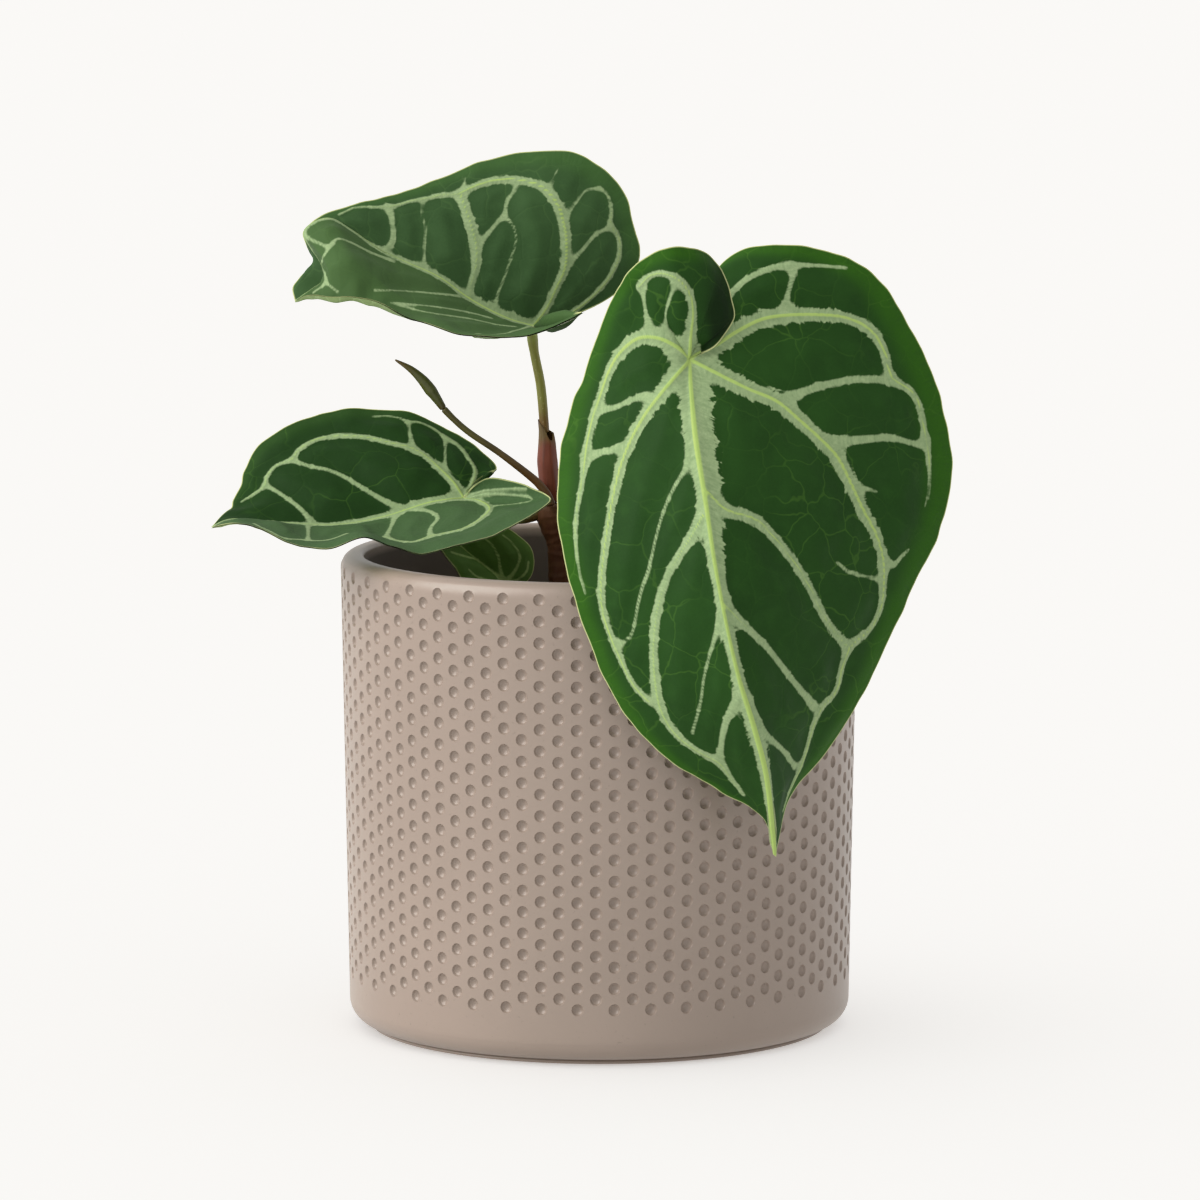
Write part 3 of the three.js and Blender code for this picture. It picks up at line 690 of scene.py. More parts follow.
            "lateral3": ((0.8, 0.5, 0.5), 0.3, [(860, 500), (838, 550), (812, 600)]),
            "tipCollective": ((0.5, 0.45, 0.45, 0.35), 0.3, [
                (640, 590), (560, 612), (500, 620), (450, 612), (380, 605), (300, 575), (235, 545)]),
            "lateral4": ((0.7, 0.5, 0.5), 0.3, [(470, 545), (472, 580), (470, 612)]),
        },
    },
    "leaf_small": {
        "corner": (200, 400), "enlarged": 4.355,
        "midrib": {"left": (0.7, 0.45, 0.3), "right": (0.7, 0.45, 0.3)},
        "left": {
            "lateral1": ((0.5, 0.35, 0.2), 0.5, [
                (1325, 795), (1280, 745), (1220, 705), (1150, 685), (1095, 668)]),
            "lateral2": ((0.45, 0.3, 0.2), 0.5, [(1325, 795), (1260, 790), (1200, 770), (1165, 740)]),
        },
        "right": {
            "lateral1": ((0.5, 0.35, 0.2), 0.5, [
                (1325, 795), (1306, 740), (1298, 690), (1275, 640), (1240, 605)]),
            "lateral2": ((0.5, 0.35, 0.2), 0.5, [
                (1325, 795), (1372, 735), (1388, 680), (1360, 625), (1315, 590)]),
            "lobe": ((0.4, 0.25, 0.2), 0.5, [(1325, 795), (1385, 780), (1420, 745), (1430, 705)]),
        },
    },
}

bladeSettings = {
    "thickness": 0.75, "rimThickness": 0.35, "pucker": 1.4, "puckerReach": 9, "ripple": 0.32,
    "rippleLength": 6, "wave": 0.8, "waveLength": 11, "scallop": 0.5, "scallopLength": 5.5, "ridge": 0.5,
    "rib": 1.1, "ribWidth": 0.75, "thinnest": 0.28, "curlReach": 8, "droopStart": 0.6, "veinShift": 37,
    "sideShift": 500,
    "webbing": {"leaf_large": 1.2, "leaf_upper": 0.7, "leaf_lower": 0.7, "leaf_small": 0.4},
    "relief": {"leaf_large": 1, "leaf_upper": 1, "leaf_lower": 1, "leaf_small": 0.4},
}


# the lattice on which a pixel is looked up, and how much the search holds to the last place found
latticeSteps = (200, 80)
nearness = 0.004


class Blade:
    # a leaf blade as two lofted halves between the midrib and each margin
    def __init__(self, settings):
        self.settings = settings
        self.midrib = seenAt(settings["midrib"])
        self.lattice = {}

    def at(self, side, u, v):
        settings = self.settings[side]
        margin = seenAt(settings["margin"])
        fan = self.settings["fan"]
        root = evenSpline(self.midrib, np.clip((u - fan) / (1 - fan), 0, 1) ** self.settings["fanPower"])
        edge = spline(margin, u)
        along = unit(spline(margin, u + 1e-3) - spline(margin, u - 1e-3))
        across = edge - root
        width = np.linalg.norm(across, axis=1)[:, None]
        above = unit(np.cross(along, across)) * (1 if side == "left" else -1)
        middle = (root + edge) / 2 + above * width * steps(settings["arch"], u)[:, None]
        middle += along * width * steps(settings.get("sweep", [(0, 0), (1, 0)]), u)[:, None]
        w = v[:, None]
        place = root * (1 - w) * (1 - 2 * w) + middle * 4 * w * (1 - w) - edge * w * (1 - 2 * w)
        outwards = np.clip((v - bladeSettings["droopStart"]) / (1 - bladeSettings["droopStart"]), 0, 1)
        place[:, 2] -= steps(settings.get("droop", [(0, 0), (1, 0)]), u) * mm * np.sin(math.pi * outwards)
        return place

    def find(self, side, pixel, last):
        # the place on this half that shows at a pixel, near the last one found
        if side not in self.lattice:
            rows, columns = (np.linspace(0, 1, count + 1) for count in latticeSteps)
            u, v = (g.ravel() for g in np.meshgrid(rows, columns, indexing="ij"))
            places = self.at(side, u, v)
            self.lattice[side] = u, v, places, inFrame(places)
        u, v, places, pixels = self.lattice[side]
        span = tuple(1 / count for count in latticeSteps)
        for _ in range(3):
            cost = ((pixels - np.array(pixel)) ** 2).sum(1)
            cost = cost + nearness * ((places - last) ** 2).sum(1) / mm**2
            best = cost.argmin()
            u, v = (g.ravel() for g in np.meshgrid(
                np.clip(u[best] + np.linspace(-1, 1, 9) * span[0], 0, 1),
                np.clip(v[best] + np.linspace(-1, 1, 9) * span[1], 0, 1), indexing="ij"))
            places = self.at(side, u, v)
            pixels = inFrame(places)
            span = (span[0] / 4, span[1] / 4)
        best = ((pixels - np.array(pixel)) ** 2).sum(1).argmin()
        return u[best], v[best], places[best]

    def vein(self, side, pixels):
        # the line on the half that shows as a smooth curve through those pixels
        last = self.midrib[0]
        found = []
        for pixel in spline(pixels, np.linspace(0, 1, 4 * len(pixels))):
            u, v, last = self.find(side, pixel, last)
            found.append((u, v))
        path = self.at(side, *np.array(found).T)
        if np.linalg.norm(path[0] - self.midrib[0]) < 2 * mm:
            path[0] = self.midrib[0]
        return path


def nearPath(points, path, widths):
    # for each point: the gap to the band round the path, the distance from it, the run along it and the
    # band's half-width; the points are taken some at a time to save memory
    start = path[:-1]
    step = np.diff(path, axis=0)
    length = np.maximum(np.linalg.norm(step, axis=1), 1e-9)
    run = np.r_[0, np.cumsum(length)]
    gap, distance, along, width = (np.empty(len(points)) for _ in range(4))
    atOnce = 4000
    for first in range(0, len(points), atOnce):
        chunk = slice(first, first + atOnce)
        offset = points[chunk, None] - start[None]
        share = np.clip((offset * step).sum(-1) / length**2, 0, 1)
        away = np.linalg.norm(offset - share[..., None] * step, axis=-1)
        band = widths[:-1] + share * np.diff(widths)
        best = (away - band).argmin(1)
        pick = np.arange(len(best)), best
        gap[chunk] = (away - band)[pick]
        distance[chunk] = away[pick]
        along[chunk] = (run[:-1] + share * length)[pick]
        width[chunk] = band[pick]
    return gap, distance, along, width


def veinValues(blade, name, places, isLeft):
    # how each vertex lies to the veins of its half, in millimetres
    s = bladeSettings
    count = len(places)
    total = np.zeros(count)
    best = np.full(count, 1e3)
    values = {key: np.zeros(count) for key in ("veinAlong", "veinWidth", "ridge", "rib")}
    table = veins[name]
    webbing = s["webbing"][name]
    spine = evenSpline(blade.midrib, np.linspace(0, 1, 60))
    lines = []
    for side, mask in (("left", isLeft), ("right", ~isLeft)):
        lines.append((mask, spine, table["midrib"][side], 1))
        for widths, ridge, pixels in table[side].values():
            pixels = np.round(np.array(pixels) / table["enlarged"] + table["corner"])
            lines.append((mask, blade.vein(side, pixels), widths, ridge))
    for number, (mask, path, widths, ridge) in enumerate(lines):
        run = np.r_[0, np.cumsum(np.linalg.norm(np.diff(path, axis=0), axis=1))]
        widths = np.interp(run / run[-1], np.linspace(0, 1, len(widths)), widths)
        bands = np.maximum(widths, s["thinnest"])
        gap, distance, along, width = nearPath(places[mask] / mm, path / mm, bands)
        width = np.interp(along, run / mm, widths)
        total[mask] += np.exp(-gap / webbing)
        nearer = gap < best[mask]
        index = np.flatnonzero(mask)[nearer]
        best[index] = gap[nearer]
        values["veinAlong"][index] = along[nearer] + s["veinShift"] * number
        values["veinWidth"][index] = width[nearer]
        strength = ridge * np.clip(0.4 + width / 3, 0, 1)
        crest = strength * np.exp(-(distance / (0.34 + 0.12 * width)) ** 2)
        values["ridge"][mask] = np.maximum(values["ridge"][mask], crest)
        keel = (0.25 + 0.75 * strength) * np.exp(-(distance / s["ribWidth"]) ** 2)
        values["rib"][mask] = np.maximum(values["rib"][mask], keel)
    values["veinGap"] = -webbing * np.log(np.maximum(total, 1e-12))
    return values


def leafTop(name, tone):
    graph = Graph(name + "Upper")
    place = graph.place()
    gap, along, width = (graph.attribute(key) for key in ("veinGap", "veinAlong", "veinWidth"))
    margin, rimGap, ridge = (graph.attribute(key) for key in ("marginShare", "rimGap", "ridge"))
    # a fringe of fine hairs lies across each vein and frays the edge of its pale band
    across = graph.node("ShaderNodeCombineXYZ", {}, {0: along - gap * 0.45, 1: gap * 0.22, 2: 0.0})
    fringe = graph.noise(across, 1.25, 4, 0.62) * 0.55 + graph.noise(place, 420, 4, 0.7) * 0.45
    shift = graph.node("ShaderNodeTexNoise", {}, {"Vector": place, "Scale": 120.0, "Detail": 2.0}, 1)
    bent = graph.node("ShaderNodeVectorMath", {"operation": "MULTIPLY_ADD"}, {
        0: shift, 1: (0.006, 0.006, 0.006), 2: place})
    net = graph.cells(bent, 92.0)
    spike = graph.soft(net, 0.085, 0.0)
    reach = (fringe - 0.5) * (width * 1.3 + 0.25) + spike * (width * 0.22 + 0.1)
    band = graph.soft(gap - reach, 0.28, -0.3)
    fine = graph.noise(place, 1500, 2)
    cloud = graph.noise(place, 48, 3)
    blotch = graph.noise(place, 170, 3)
    cell = graph.mix(cloud, tone["cell"], tone["cellLight"])
    cell = graph.mix(graph.soft(blotch, 0.46, 0.78) * 0.6, cell, tone["cellLight"])
    cell = graph.mix(graph.soft(margin, 0.0, 1.0) * 0.62, cell, tone["margin"])
    strongNet = graph.soft(graph.noise(place, 30, 1), 0.4, 0.62)
    hair = graph.soft(net, 0.024, 0.004) * (strongNet * 0.13 + 0.02)
    cell = graph.mix(hair, cell, tone["hair"])
    # faint pleats run out to the margin; they are bumped and also painted lighter along their raised folds,
    # a painted highlight
    pleatPlace = graph.node("ShaderNodeCombineXYZ", {}, {
        0: graph.attribute("marginRun"), 1: margin * 1.5, 2: 0.0})
    pleat = graph.noise(pleatPlace, 0.9, 3) * margin
    cell = graph.mix(graph.soft(pleat, 0.4, 0.7) * 0.35, cell, tone["cellLight"])
    # painted sheen: the half of the blade nearer the camera is lightened and greyed
    cell = graph.mix(graph.attribute("nearHalf") * tone["nearSheenShare"], cell, tone["nearSheen"])
    cell = graph.mix(graph.soft(fine, 0.3, 0.75) * 0.22, cell, tone["cellLight"])
    silver = graph.mix(graph.soft(fringe, 0.25, 0.75), tone["silverDark"], tone["silver"])
    silver = graph.mix(graph.soft(fine, 0.4, 0.7) * 0.3, silver, tone["silverDark"])
    colour = graph.mix(band * 0.96, cell, silver)
    colour = graph.mix(graph.soft(ridge, 0.36, 0.75) * 0.8, colour, tone["ridge"])
    # painted shade inside a rolled lobe
    colour = graph.mix(graph.attribute("shade") * 0.9, colour, tone["shade"])
    colour = graph.mix(graph.soft(rimGap, 0.45, 0.12) * 0.85, colour, tone["rim"])
    height = graph.noise(place, 800, 3) * 0.4 + fringe * band * 0.5
    height = height + graph.soft(net, 0.0, 0.06) * 0.4 + pleat * 1.5
    normal = graph.bump(height, 0.00014, 0.6)
    rough = 0.6 - band * 0.06 + cloud * 0.1
    gloss = {"Specular_IOR_Level": 0.09, "Sheen_Weight": 0.02, "Sheen_Roughness": 0.4}
    return graph.surface(colour, rough, normal, **gloss)


def leafUnderside(name, tone):
    graph = Graph(name + "Under")
    place = graph.place()
    gap, rib = graph.attribute("veinGap"), graph.attribute("rib")
    colour = graph.mix(graph.noise(place, 60, 3), tone["under"], tone["underLight"])
    net = graph.cells(place, 260.0)
    colour = graph.mix(graph.soft(net, 0.09, 0.0) * 0.35, colour, tone["underVein"])
    colour = graph.mix(graph.soft(gap, 1.2, -0.4) * 0.5, colour, tone["underVein"])
    colour = graph.mix(graph.soft(rib, 0.3, 0.9) * 0.8, colour, tone["underRib"])
    normal = graph.bump(graph.noise(place, 500, 3) - graph.soft(net, 0.12, 0.0) * 0.5, 0.00015, 0.5)
    return graph.surface(colour, 0.6, normal, Specular_IOR_Level=0.2)


# shade is the colour of the painted shade inside a rolled lobe; the near-half tone is a painted sheen
leafTones = {
    "cell": srgb(20, 49, 12), "cellLight": srgb(34, 68, 22), "margin": srgb(46, 92, 10),
    "hair": srgb(96, 140, 52), "silver": srgb(152, 171, 127), "silverDark": srgb(116, 138, 97),
    "ridge": srgb(158, 182, 96), "rim": srgb(190, 194, 138),
    "under": srgb(112, 132, 84), "underLight": srgb(132, 152, 100), "underVein": srgb(158, 178, 128),
    "underRib": srgb(172, 184, 136), "shade": srgb(6, 22, 3), "nearSheen": srgb(46, 74, 36), "nearSheenShare": 0.0,
}
# per-leaf tones with painted light: the upper leaf lighter and greyer as if facing the light, the lower leaf
# darker for its shaded far half, and the small leaf's cells and silver lighter against the shade it sits in
paintedLightTones = {
    "leaf_upper": {"cell": srgb(35, 60, 29), "cellLight": srgb(56, 84, 47), "margin": srgb(58, 92, 42),
                   "hair": srgb(90, 124, 66), "nearSheen": srgb(70, 96, 52), "nearSheenShare": 0.6},
    "leaf_lower": {"cell": srgb(17, 42, 11), "cellLight": srgb(30, 60, 20), "margin": srgb(38, 70, 20),
                   "nearSheenShare": 0.85, "nearSheen": srgb(66, 92, 56)},
    "leaf_small": {"cell": srgb(74, 106, 44), "cellLight": srgb(90, 126, 56), "margin": srgb(86, 122, 44),
                   "silver": srgb(166, 190, 124), "silverDark": srgb(144, 170, 104)},
}


def lumpy(points, length, seed=0.0):
    # smooth noise of about that wavelength, from -1 to 1
    return np.array([noise.noise(Vector(point) / length + Vector((seed, seed, seed))) for point in points])


def makeLeaf(name):
    s = bladeSettings
    settings = leaves[name]
    blade = Blade(settings)
    rows, columns = settings["rows"], settings["columns"]
    relief = s["relief"][name]
    bm, shares = gridMesh(rows, 2 * columns)
    u = np.round(shares[:, 0] * rows) / rows
    v = np.round((shares[:, 1] * 2 - 1) * columns) / columns
    places = np.empty((len(u), 3))
    for side, mask in (("left", v >= 0), ("right", v < 0)):
        places[mask] = blade.at(side, u[mask], np.abs(v[mask]))
    setPlaces(bm, places)
    storeValues(bm, u=u, v=v)
    bmesh.ops.remove_doubles(bm, verts=bm.verts, dist=2e-6)
    layers = bm.verts.layers.float
    u, v = (np.array([vertex[layers[key]] for vertex in bm.verts]) for key in ("u", "v"))
    places = getPlaces(bm)
    isLeft = v >= 0
    if np.mean([face.normal.z - face.normal.y for face in bm.faces]) < 0:
        bmesh.ops.reverse_faces(bm, faces=bm.faces)
    values = veinValues(blade, name, places, isLeft)
    rimGap = np.empty(len(u))
    outwards = np.empty((len(u), 3))
    around = np.empty(len(u))
    for side, mask in (("left", isLeft), ("right", ~isLeft)):
        edge = spline(seenAt(settings[side]["margin"]) / mm, np.linspace(0, 1, 300))
        rimGap[mask], _, around[mask], _ = nearPath(places[mask] / mm, edge, np.zeros(len(edge)))
        reach = np.abs(v[mask])
        inner = blade.at(side, u[mask], np.maximum(reach - 0.02, 0))
        outwards[mask] = unit(blade.at(side, u[mask], np.maximum(reach, 0.02)) - inner)
    values["rimGap"] = rimGap
    values["marginShare"] = smoothStep(np.abs(v), 0.8, 1)
    values["marginRun"] = around + np.where(isLeft, 0, s["sideShift"])
    # nearHalf marks the half nearer the camera, which gets the painted sheen
    values["nearHalf"] = isLeft.astype(float)
    # a lobe may roll back along its edge, and the inside of the roll gets painted shade
    rolled = np.where(isLeft, 0, steps(settings["right"].get("curl", [(0, 0), (1, 0)]), u))
    roll = rolled * np.clip(1 - rimGap / s["curlReach"], 0, 1) ** 2
    values["shade"] = np.clip(rolled / 4, 0, 1) * smoothStep(np.abs(v), 0.3, 0.6)
    # the blade is quilted between its veins and waves a little along its margin
    body = smoothStep(u, 0, 0.06) * (1 - smoothStep(u, 0.93, 1))
    line = np.stack([around, np.where(isLeft, 0, 50), np.zeros(len(u))], -1)
    margin = smoothStep(np.abs(v), 0.7, 1) * body
    bulge = s["pucker"] * smoothStep(values["veinGap"], 0, s["puckerReach"] * relief)
    bulge *= 1 - smoothStep(np.abs(v), 0.75, 1) * 0.7
    bulge += s["ripple"] * lumpy(places / mm, s["rippleLength"]) * smoothStep(values["veinGap"], 0, 4)
    bulge += s["wave"] * lumpy(line, s["waveLength"], 5.3) * margin
    bulge *= relief
    scallop = s["scallop"] * relief * lumpy(line, s["scallopLength"], 2.1) * margin**2
    normals = getNormals(bm)
    places = places + outwards * scallop[:, None] * mm
    places[:, 1] += roll * mm
    storeValues(bm, order=np.arange(len(u)), **values)
    half = (s["rimThickness"] + (s["thickness"] - s["rimThickness"]) * smoothStep(rimGap, 0, 4)) / 2
    top = (half + bulge + s["ridge"] * relief * values["ridge"]) * mm
    bottom = (bulge - half - s["rib"] * relief * values["rib"] * smoothStep(rimGap, 0, 3)) * mm
    upper = bm.verts[:] + bm.edges[:] + bm.faces[:]
    copy = bmesh.ops.duplicate(bm, geom=upper)["geom"]
    lowerFaces = [item for item in copy if isinstance(item, bmesh.types.BMFace)]
    for face in lowerFaces:
        face.material_index = 1
    bmesh.ops.reverse_faces(bm, faces=lowerFaces)
    order = bm.verts.layers.float["order"]
    for sheet, lift in ((upper, top), (copy, bottom)):
        for vertex in sheet:
            if isinstance(vertex, bmesh.types.BMVert):
                row = round(vertex[order])
                vertex.co = places[row] + normals[row] * lift[row]
    edges = [edge for edge in bm.edges if edge.is_boundary]
    bmesh.ops.bridge_loops(bm, edges=edges)
    bmesh.ops.recalc_face_normals(bm, faces=bm.faces)
    title = "".join(part.capitalize() for part in name.split("_"))[4:]
    tone = leafTones | paintedLightTones.get(name, {})
    materials = [leafTop("leaf" + title, tone), leafUnderside("leaf" + title, tone)]
    finishPiece(bm, f"leaf{title}Blade", materials, [name])


for name in leaves:
    makeLeaf(name)

print("leaves")


# shoots: round stems rolled up from a grid and closed at both ends
def shootRows(length, cap, count):
    angle = np.linspace(0, math.pi / 2, 6)[:-1]
    start = cap * (1 - np.cos(angle))
    places = np.r_[start, np.linspace(cap, length - cap, count), (length - start)[::-1]]
    return places, np.r_[np.sin(angle), np.ones(count), np.sin(angle)[::-1]]


def shoot(points, radii, sides, count, shape, cap):
    # radii are pairs of share of the length and radius in millimetres; shape changes the radius by the run
    # and the turn
    dense = evenSpline(points, np.linspace(0, 1, 400))
    length = np.linalg.norm(np.diff(dense, axis=0), axis=1).sum()
    run, swell = shootRows(length, cap, count)
    centres = evenSpline(points, run / length)
    ahead = evenSpline(points, np.clip(run / length + 0.004, 0, 1))
    behind = evenSpline(points, np.clip(run / length - 0.004, 0, 1))
    tangents = unit(ahead - behind)
    sideways = [Vector((1, 0, 0)).cross(Vector(tangents[0])).cross(Vector(tangents[0])).normalized() * -1]
    for tangent in tangents[1:]:
        last = sideways[-1]
        sideways.append((last - Vector(tangent) * last.dot(Vector(tangent))).normalized())
    sideways = np.array(sideways)
    upwards = np.cross(tangents, sideways)
    bm, shares = gridMesh(sides, len(run) - 1)
    row = np.round(shares[:, 1] * (len(run) - 1)).astype(int)
    turn = 2 * math.pi * np.round(shares[:, 0] * sides) / sides
    radius = steps(radii, run[row] / length)
    radius = radius * shape(run[row], turn % (2 * math.pi))
    radius = radius * swell[row]
    out = sideways[row] * np.cos(turn)[:, None] + upwards[row] * np.sin(turn)[:, None]
    setPlaces(bm, (centres[row] + out * radius[:, None]) * mm)
    storeValues(bm, run=run[row], runShare=run[row] / length)
    bmesh.ops.remove_doubles(bm, verts=bm.verts, dist=1e-6)
    bmesh.ops.recalc_face_normals(bm, faces=bm.faces)
    return bm


stems = {
    "stem": {
        "points": [(-11.5, 4, 96), (-11.5, 4, 128), (-11.8, 4, 140), (-13.6, 3.6, 146), (-14.6, 3.4, 149.5),
                   (-14.2, 3.6, 152.5)],
        "radii": [(0, 3.3), (0.56, 3.2), (0.77, 3.3), (0.89, 4.1), (0.95, 4.2), (1, 3.2)],
    },
    "sheath": {
        "points": [(-13.9, 3.7, 152.2), (-14.6, 3.9, 158), (-15.1, 4, 164), (-15.2, 4, 170),
                   (-15.7, 4, 175.4)],
        "radii": [(0, 2.7), (0.25, 2.95), (0.5, 3.0), (0.76, 2.5), (1, 1.85)],
    },
    "petiole_large": {
        "points": [(-12, 2.4, 147.5), (-9, 0.5, 151.5), (-5, -5, 166), (2.5, -23, 190), (11.5, -46, 206),
                   (20.5, -65.5, 207.5), (24.2, -71.6, 204.2)],
        "radii": [(0, 1.9), (0.2, 1.7), (0.4, 1.55), (0.9, 1.55), (0.94, 1.8), (1, 1.75)],
    },
    "petiole_upper": {
        "points": [(-15.8, 4, 172), (-17, 3.5, 186), (-18.9, 2.2, 196.3), (-19.7, 0.4, 203.6)],
        "radii": [(0, 1.4), (0.4, 1.4), (0.75, 1.35), (0.86, 1.6), (1, 1.55)],
    },
    "petiole_lower": {
        "points": [(-17.5, 3, 149), (-23, 1.5, 147.5), (-30, -2, 148.5), (-36, -4.8, 151),
                   (-38.3, -5.6, 153)],
        "radii": [(0, 2.2), (0.14, 1.9), (0.35, 1.4), (0.7, 1.3), (0.82, 1.5), (1, 1.45)],
    },
    "petiole_small": {
        "points": [(-20, 9, 98), (-20.5, 9, 110), (-23, 8, 120), (-26.8, 6.6, 127)],
        "radii": [(0, 1.1), (0.4, 1.0), (0.85, 1.0), (0.93, 1.15), (1, 1.1)],
    },
    "flower_stalk": {
        "points": [(-13.9, -1.9, 151.5), (-15.3, -1.8, 155), (-17.6, -1.6, 158), (-20.5, -1.8, 160.6),
                   (-29, -2.6, 167.2), (-37.8, -3.6, 173.3), (-42, -4, 177), (-45, -4.3, 180.2)],
        "radii": [(0, 1.35), (0.15, 1.2), (0.5, 0.95), (0.9, 0.9), (1, 1.0)],
    },
    "flower_bud": {
        "points": [(-44.9, -4.3, 180), (-47, -4.6, 183.2), (-50, -5, 187.4), (-54, -5.4, 191.4),
                   (-58.9, -6, 194.5)],
        "radii": [(0, 0.95), (0.18, 1.35), (0.32, 1.65), (0.5, 1.5), (0.75, 0.95), (0.92, 0.5), (1, 0.25)],
    },
}


def petioleMaterial(name, base, middle, top):
    graph = Graph(name)
    place = graph.place()
    share = graph.attribute("runShare")
    streak = graph.noise(graph.stretched(place, (1.0, 1.0, 0.12)), 700, 3)
    cloud = graph.noise(place, 160, 2)
    colour = graph.mix(graph.soft(share + (cloud - 0.5) * 0.15, 0.05, 0.4), base, middle)
    colour = graph.mix(graph.soft(share, 0.82, 0.92), colour, top)
    colour = graph.mix(graph.soft(streak, 0.5, 0.72) * 0.4, colour, base)
    spot = graph.noise(place, 1500, 1)
    colour = graph.mix(graph.soft(spot, 0.68, 0.76) * 0.5, colour, srgb(196, 186, 130))
    normal = graph.bump(streak, 0.0001, 0.5)
    return graph.surface(colour, 0.45, normal, Specular_IOR_Level=0.4)


def makePetioles():
    tones = {
        "petiole_large": (srgb(104, 84, 40), srgb(122, 124, 58), srgb(140, 156, 80)),
        "petiole_upper": (srgb(112, 84, 40), srgb(132, 132, 62), srgb(140, 150, 72)),
        "petiole_lower": (srgb(108, 84, 44), srgb(122, 124, 60), srgb(134, 150, 76)),
        "petiole_small": (srgb(96, 84, 44), srgb(112, 122, 62), srgb(124, 140, 72)),
    }
    def groove(run, turn):
        return 1 - 0.1 * np.exp(-((turn - math.pi / 2) / 0.45) ** 2) + 0.02 * np.cos(3 * turn)
    for name, colours in tones.items():
        settings = stems[name]
        bm = shoot(settings["points"], settings["radii"], 28, 90, groove, 0.9)
        finishPiece(bm, pieceName(name), [petioleMaterial(pieceName(name), *colours)], [name])


def pieceName(node):
    first, *rest = node.split("_")
    return "".join([first] + [word.capitalize() for word in rest]) + "Shoot"


def makeStem():
    scars = [112, 118.5, 125.5, 131, 136.5, 141, 144.5, 148]
    settings = stems["stem"]
    foot = settings["points"][0][2]
    def rings(run, turn):
        height = foot + run
        shape = 1 + 0.03 * np.cos(2 * turn + height / 7) + 0.025 * np.cos(5 * turn - height / 4)
        for number, scar in enumerate(scars):
            lean = 0.8 * np.cos(turn - number * 2.4)
            shape += 0.035 * np.exp(-((height - scar - lean) / 0.55) ** 2)
            shape -= 0.02 * np.exp(-((height - scar - lean - 1.3) / 0.5) ** 2)
        return shape
    bm = shoot(settings["points"], settings["radii"], 48, 200, rings, 1.5)
    graph = Graph("stemBark")
    place = graph.place()
    height = graph.height()
    streak = graph.noise(graph.stretched(place, (1.0, 1.0, 0.1)), 650, 4)
    cloud = graph.noise(place, 130, 3)
    colour = graph.mix(cloud, srgb(76, 44, 24), srgb(112, 64, 42))
    colour = graph.mix(graph.soft(streak, 0.5, 0.75) * 0.6, colour, srgb(112, 74, 44))
    ring = graph.node("ShaderNodeTexWave", {"bands_direction": "Z"}, {
        "Vector": place, "Scale": 48.0, "Distortion": 3.0, "Detail": 2.0, "Detail Scale": 3.0}, 1)
    colour = graph.mix(graph.soft(ring, 0.75, 0.98) * 0.2, colour, srgb(128, 92, 62))
    colour = graph.mix(graph.soft(height, 0.143, 0.152) * 0.55, colour, srgb(98, 66, 30))
    normal = graph.bump(streak + cloud * 0.5, 0.0004, 0.7)
    material = graph.surface(colour, 0.55, normal, Specular_IOR_Level=0.35)
    finishPiece(bm, "stemShoot", [material], ["stem"])


def makeSheath():
    # a papery tube round the petiole, open at the top with a point on one side and a split below it
    settings = stems["sheath"]
    sides, wall = 40, 0.3
    centreline = settings["points"]
    outside = np.linspace(0, 1, 48)
    inside = np.linspace(1, 0.62, 14)
    bm, shares = gridMesh(sides, len(outside) + len(inside) - 1)
    row = np.round(shares[:, 1] * (len(outside) + len(inside) - 1)).astype(int)
    turn = 2 * math.pi * np.round(shares[:, 0] * sides) / sides
    share = np.r_[outside, inside][row]
    isInside = row >= len(outside)
    # the top edge stands high at the left and dips at the front right
    edge = 0.5 + 0.5 * np.cos(turn - math.radians(172))
    tall = 0.86 + 0.17 * edge**1.5 - 0.1 * np.exp(-((np.cos(turn - math.radians(300)) - 1) / 0.12) ** 2)
    share = share * np.where(share > 0.6, 1 + (tall - 1) * (share - 0.6) / 0.4, 1)
    reach = np.minimum(share, 1)
    centre = evenSpline(centreline, reach)
    centre[:, 2] += np.maximum(share - 1, 0) * 24
    radius = steps(settings["radii"], reach) - wall * isInside
    radius *= 1 + 0.025 * np.cos(7 * turn + 3 * share) + 0.02 * np.cos(3 * turn)
    flare = np.maximum(share - 0.9, 0) * 2.2
    radius = radius + flare * edge
    places = centre + np.stack([np.cos(turn), np.sin(turn), np.zeros(len(turn))], -1) * radius[:, None]
    setPlaces(bm, places * mm)
    storeValues(bm, runShare=share)
    bmesh.ops.remove_doubles(bm, verts=bm.verts, dist=1e-6)
    bmesh.ops.holes_fill(bm, edges=[edge for edge in bm.edges if edge.is_boundary], sides=0)
    bmesh.ops.recalc_face_normals(bm, faces=bm.faces)
    graph = Graph("sheathSkin")
    place = graph.place()
    share = graph.attribute("runShare")
    streak = graph.noise(graph.stretched(place, (1.0, 1.0, 0.06)), 900, 4)
    cloud = graph.noise(place, 210, 3)
    colour = graph.mix(cloud, srgb(106, 50, 34), srgb(132, 68, 47))
    colour = graph.mix(graph.soft(share + (cloud - 0.5) * 0.3, 0.62, 0.86), colour, srgb(98, 78, 33))
    colour = graph.mix(graph.soft(streak, 0.48, 0.7) * 0.5, colour, srgb(62, 36, 20))
    colour = graph.mix(graph.soft(share, 0.955, 1.0) * 0.8, colour, srgb(70, 44, 22))
    normal = graph.bump(streak, 0.00025, 0.7)
    material = graph.surface(colour, 0.48, normal, Specular_IOR_Level=0.4)
    finishPiece(bm, "sheathShoot", [material], ["sheath"])


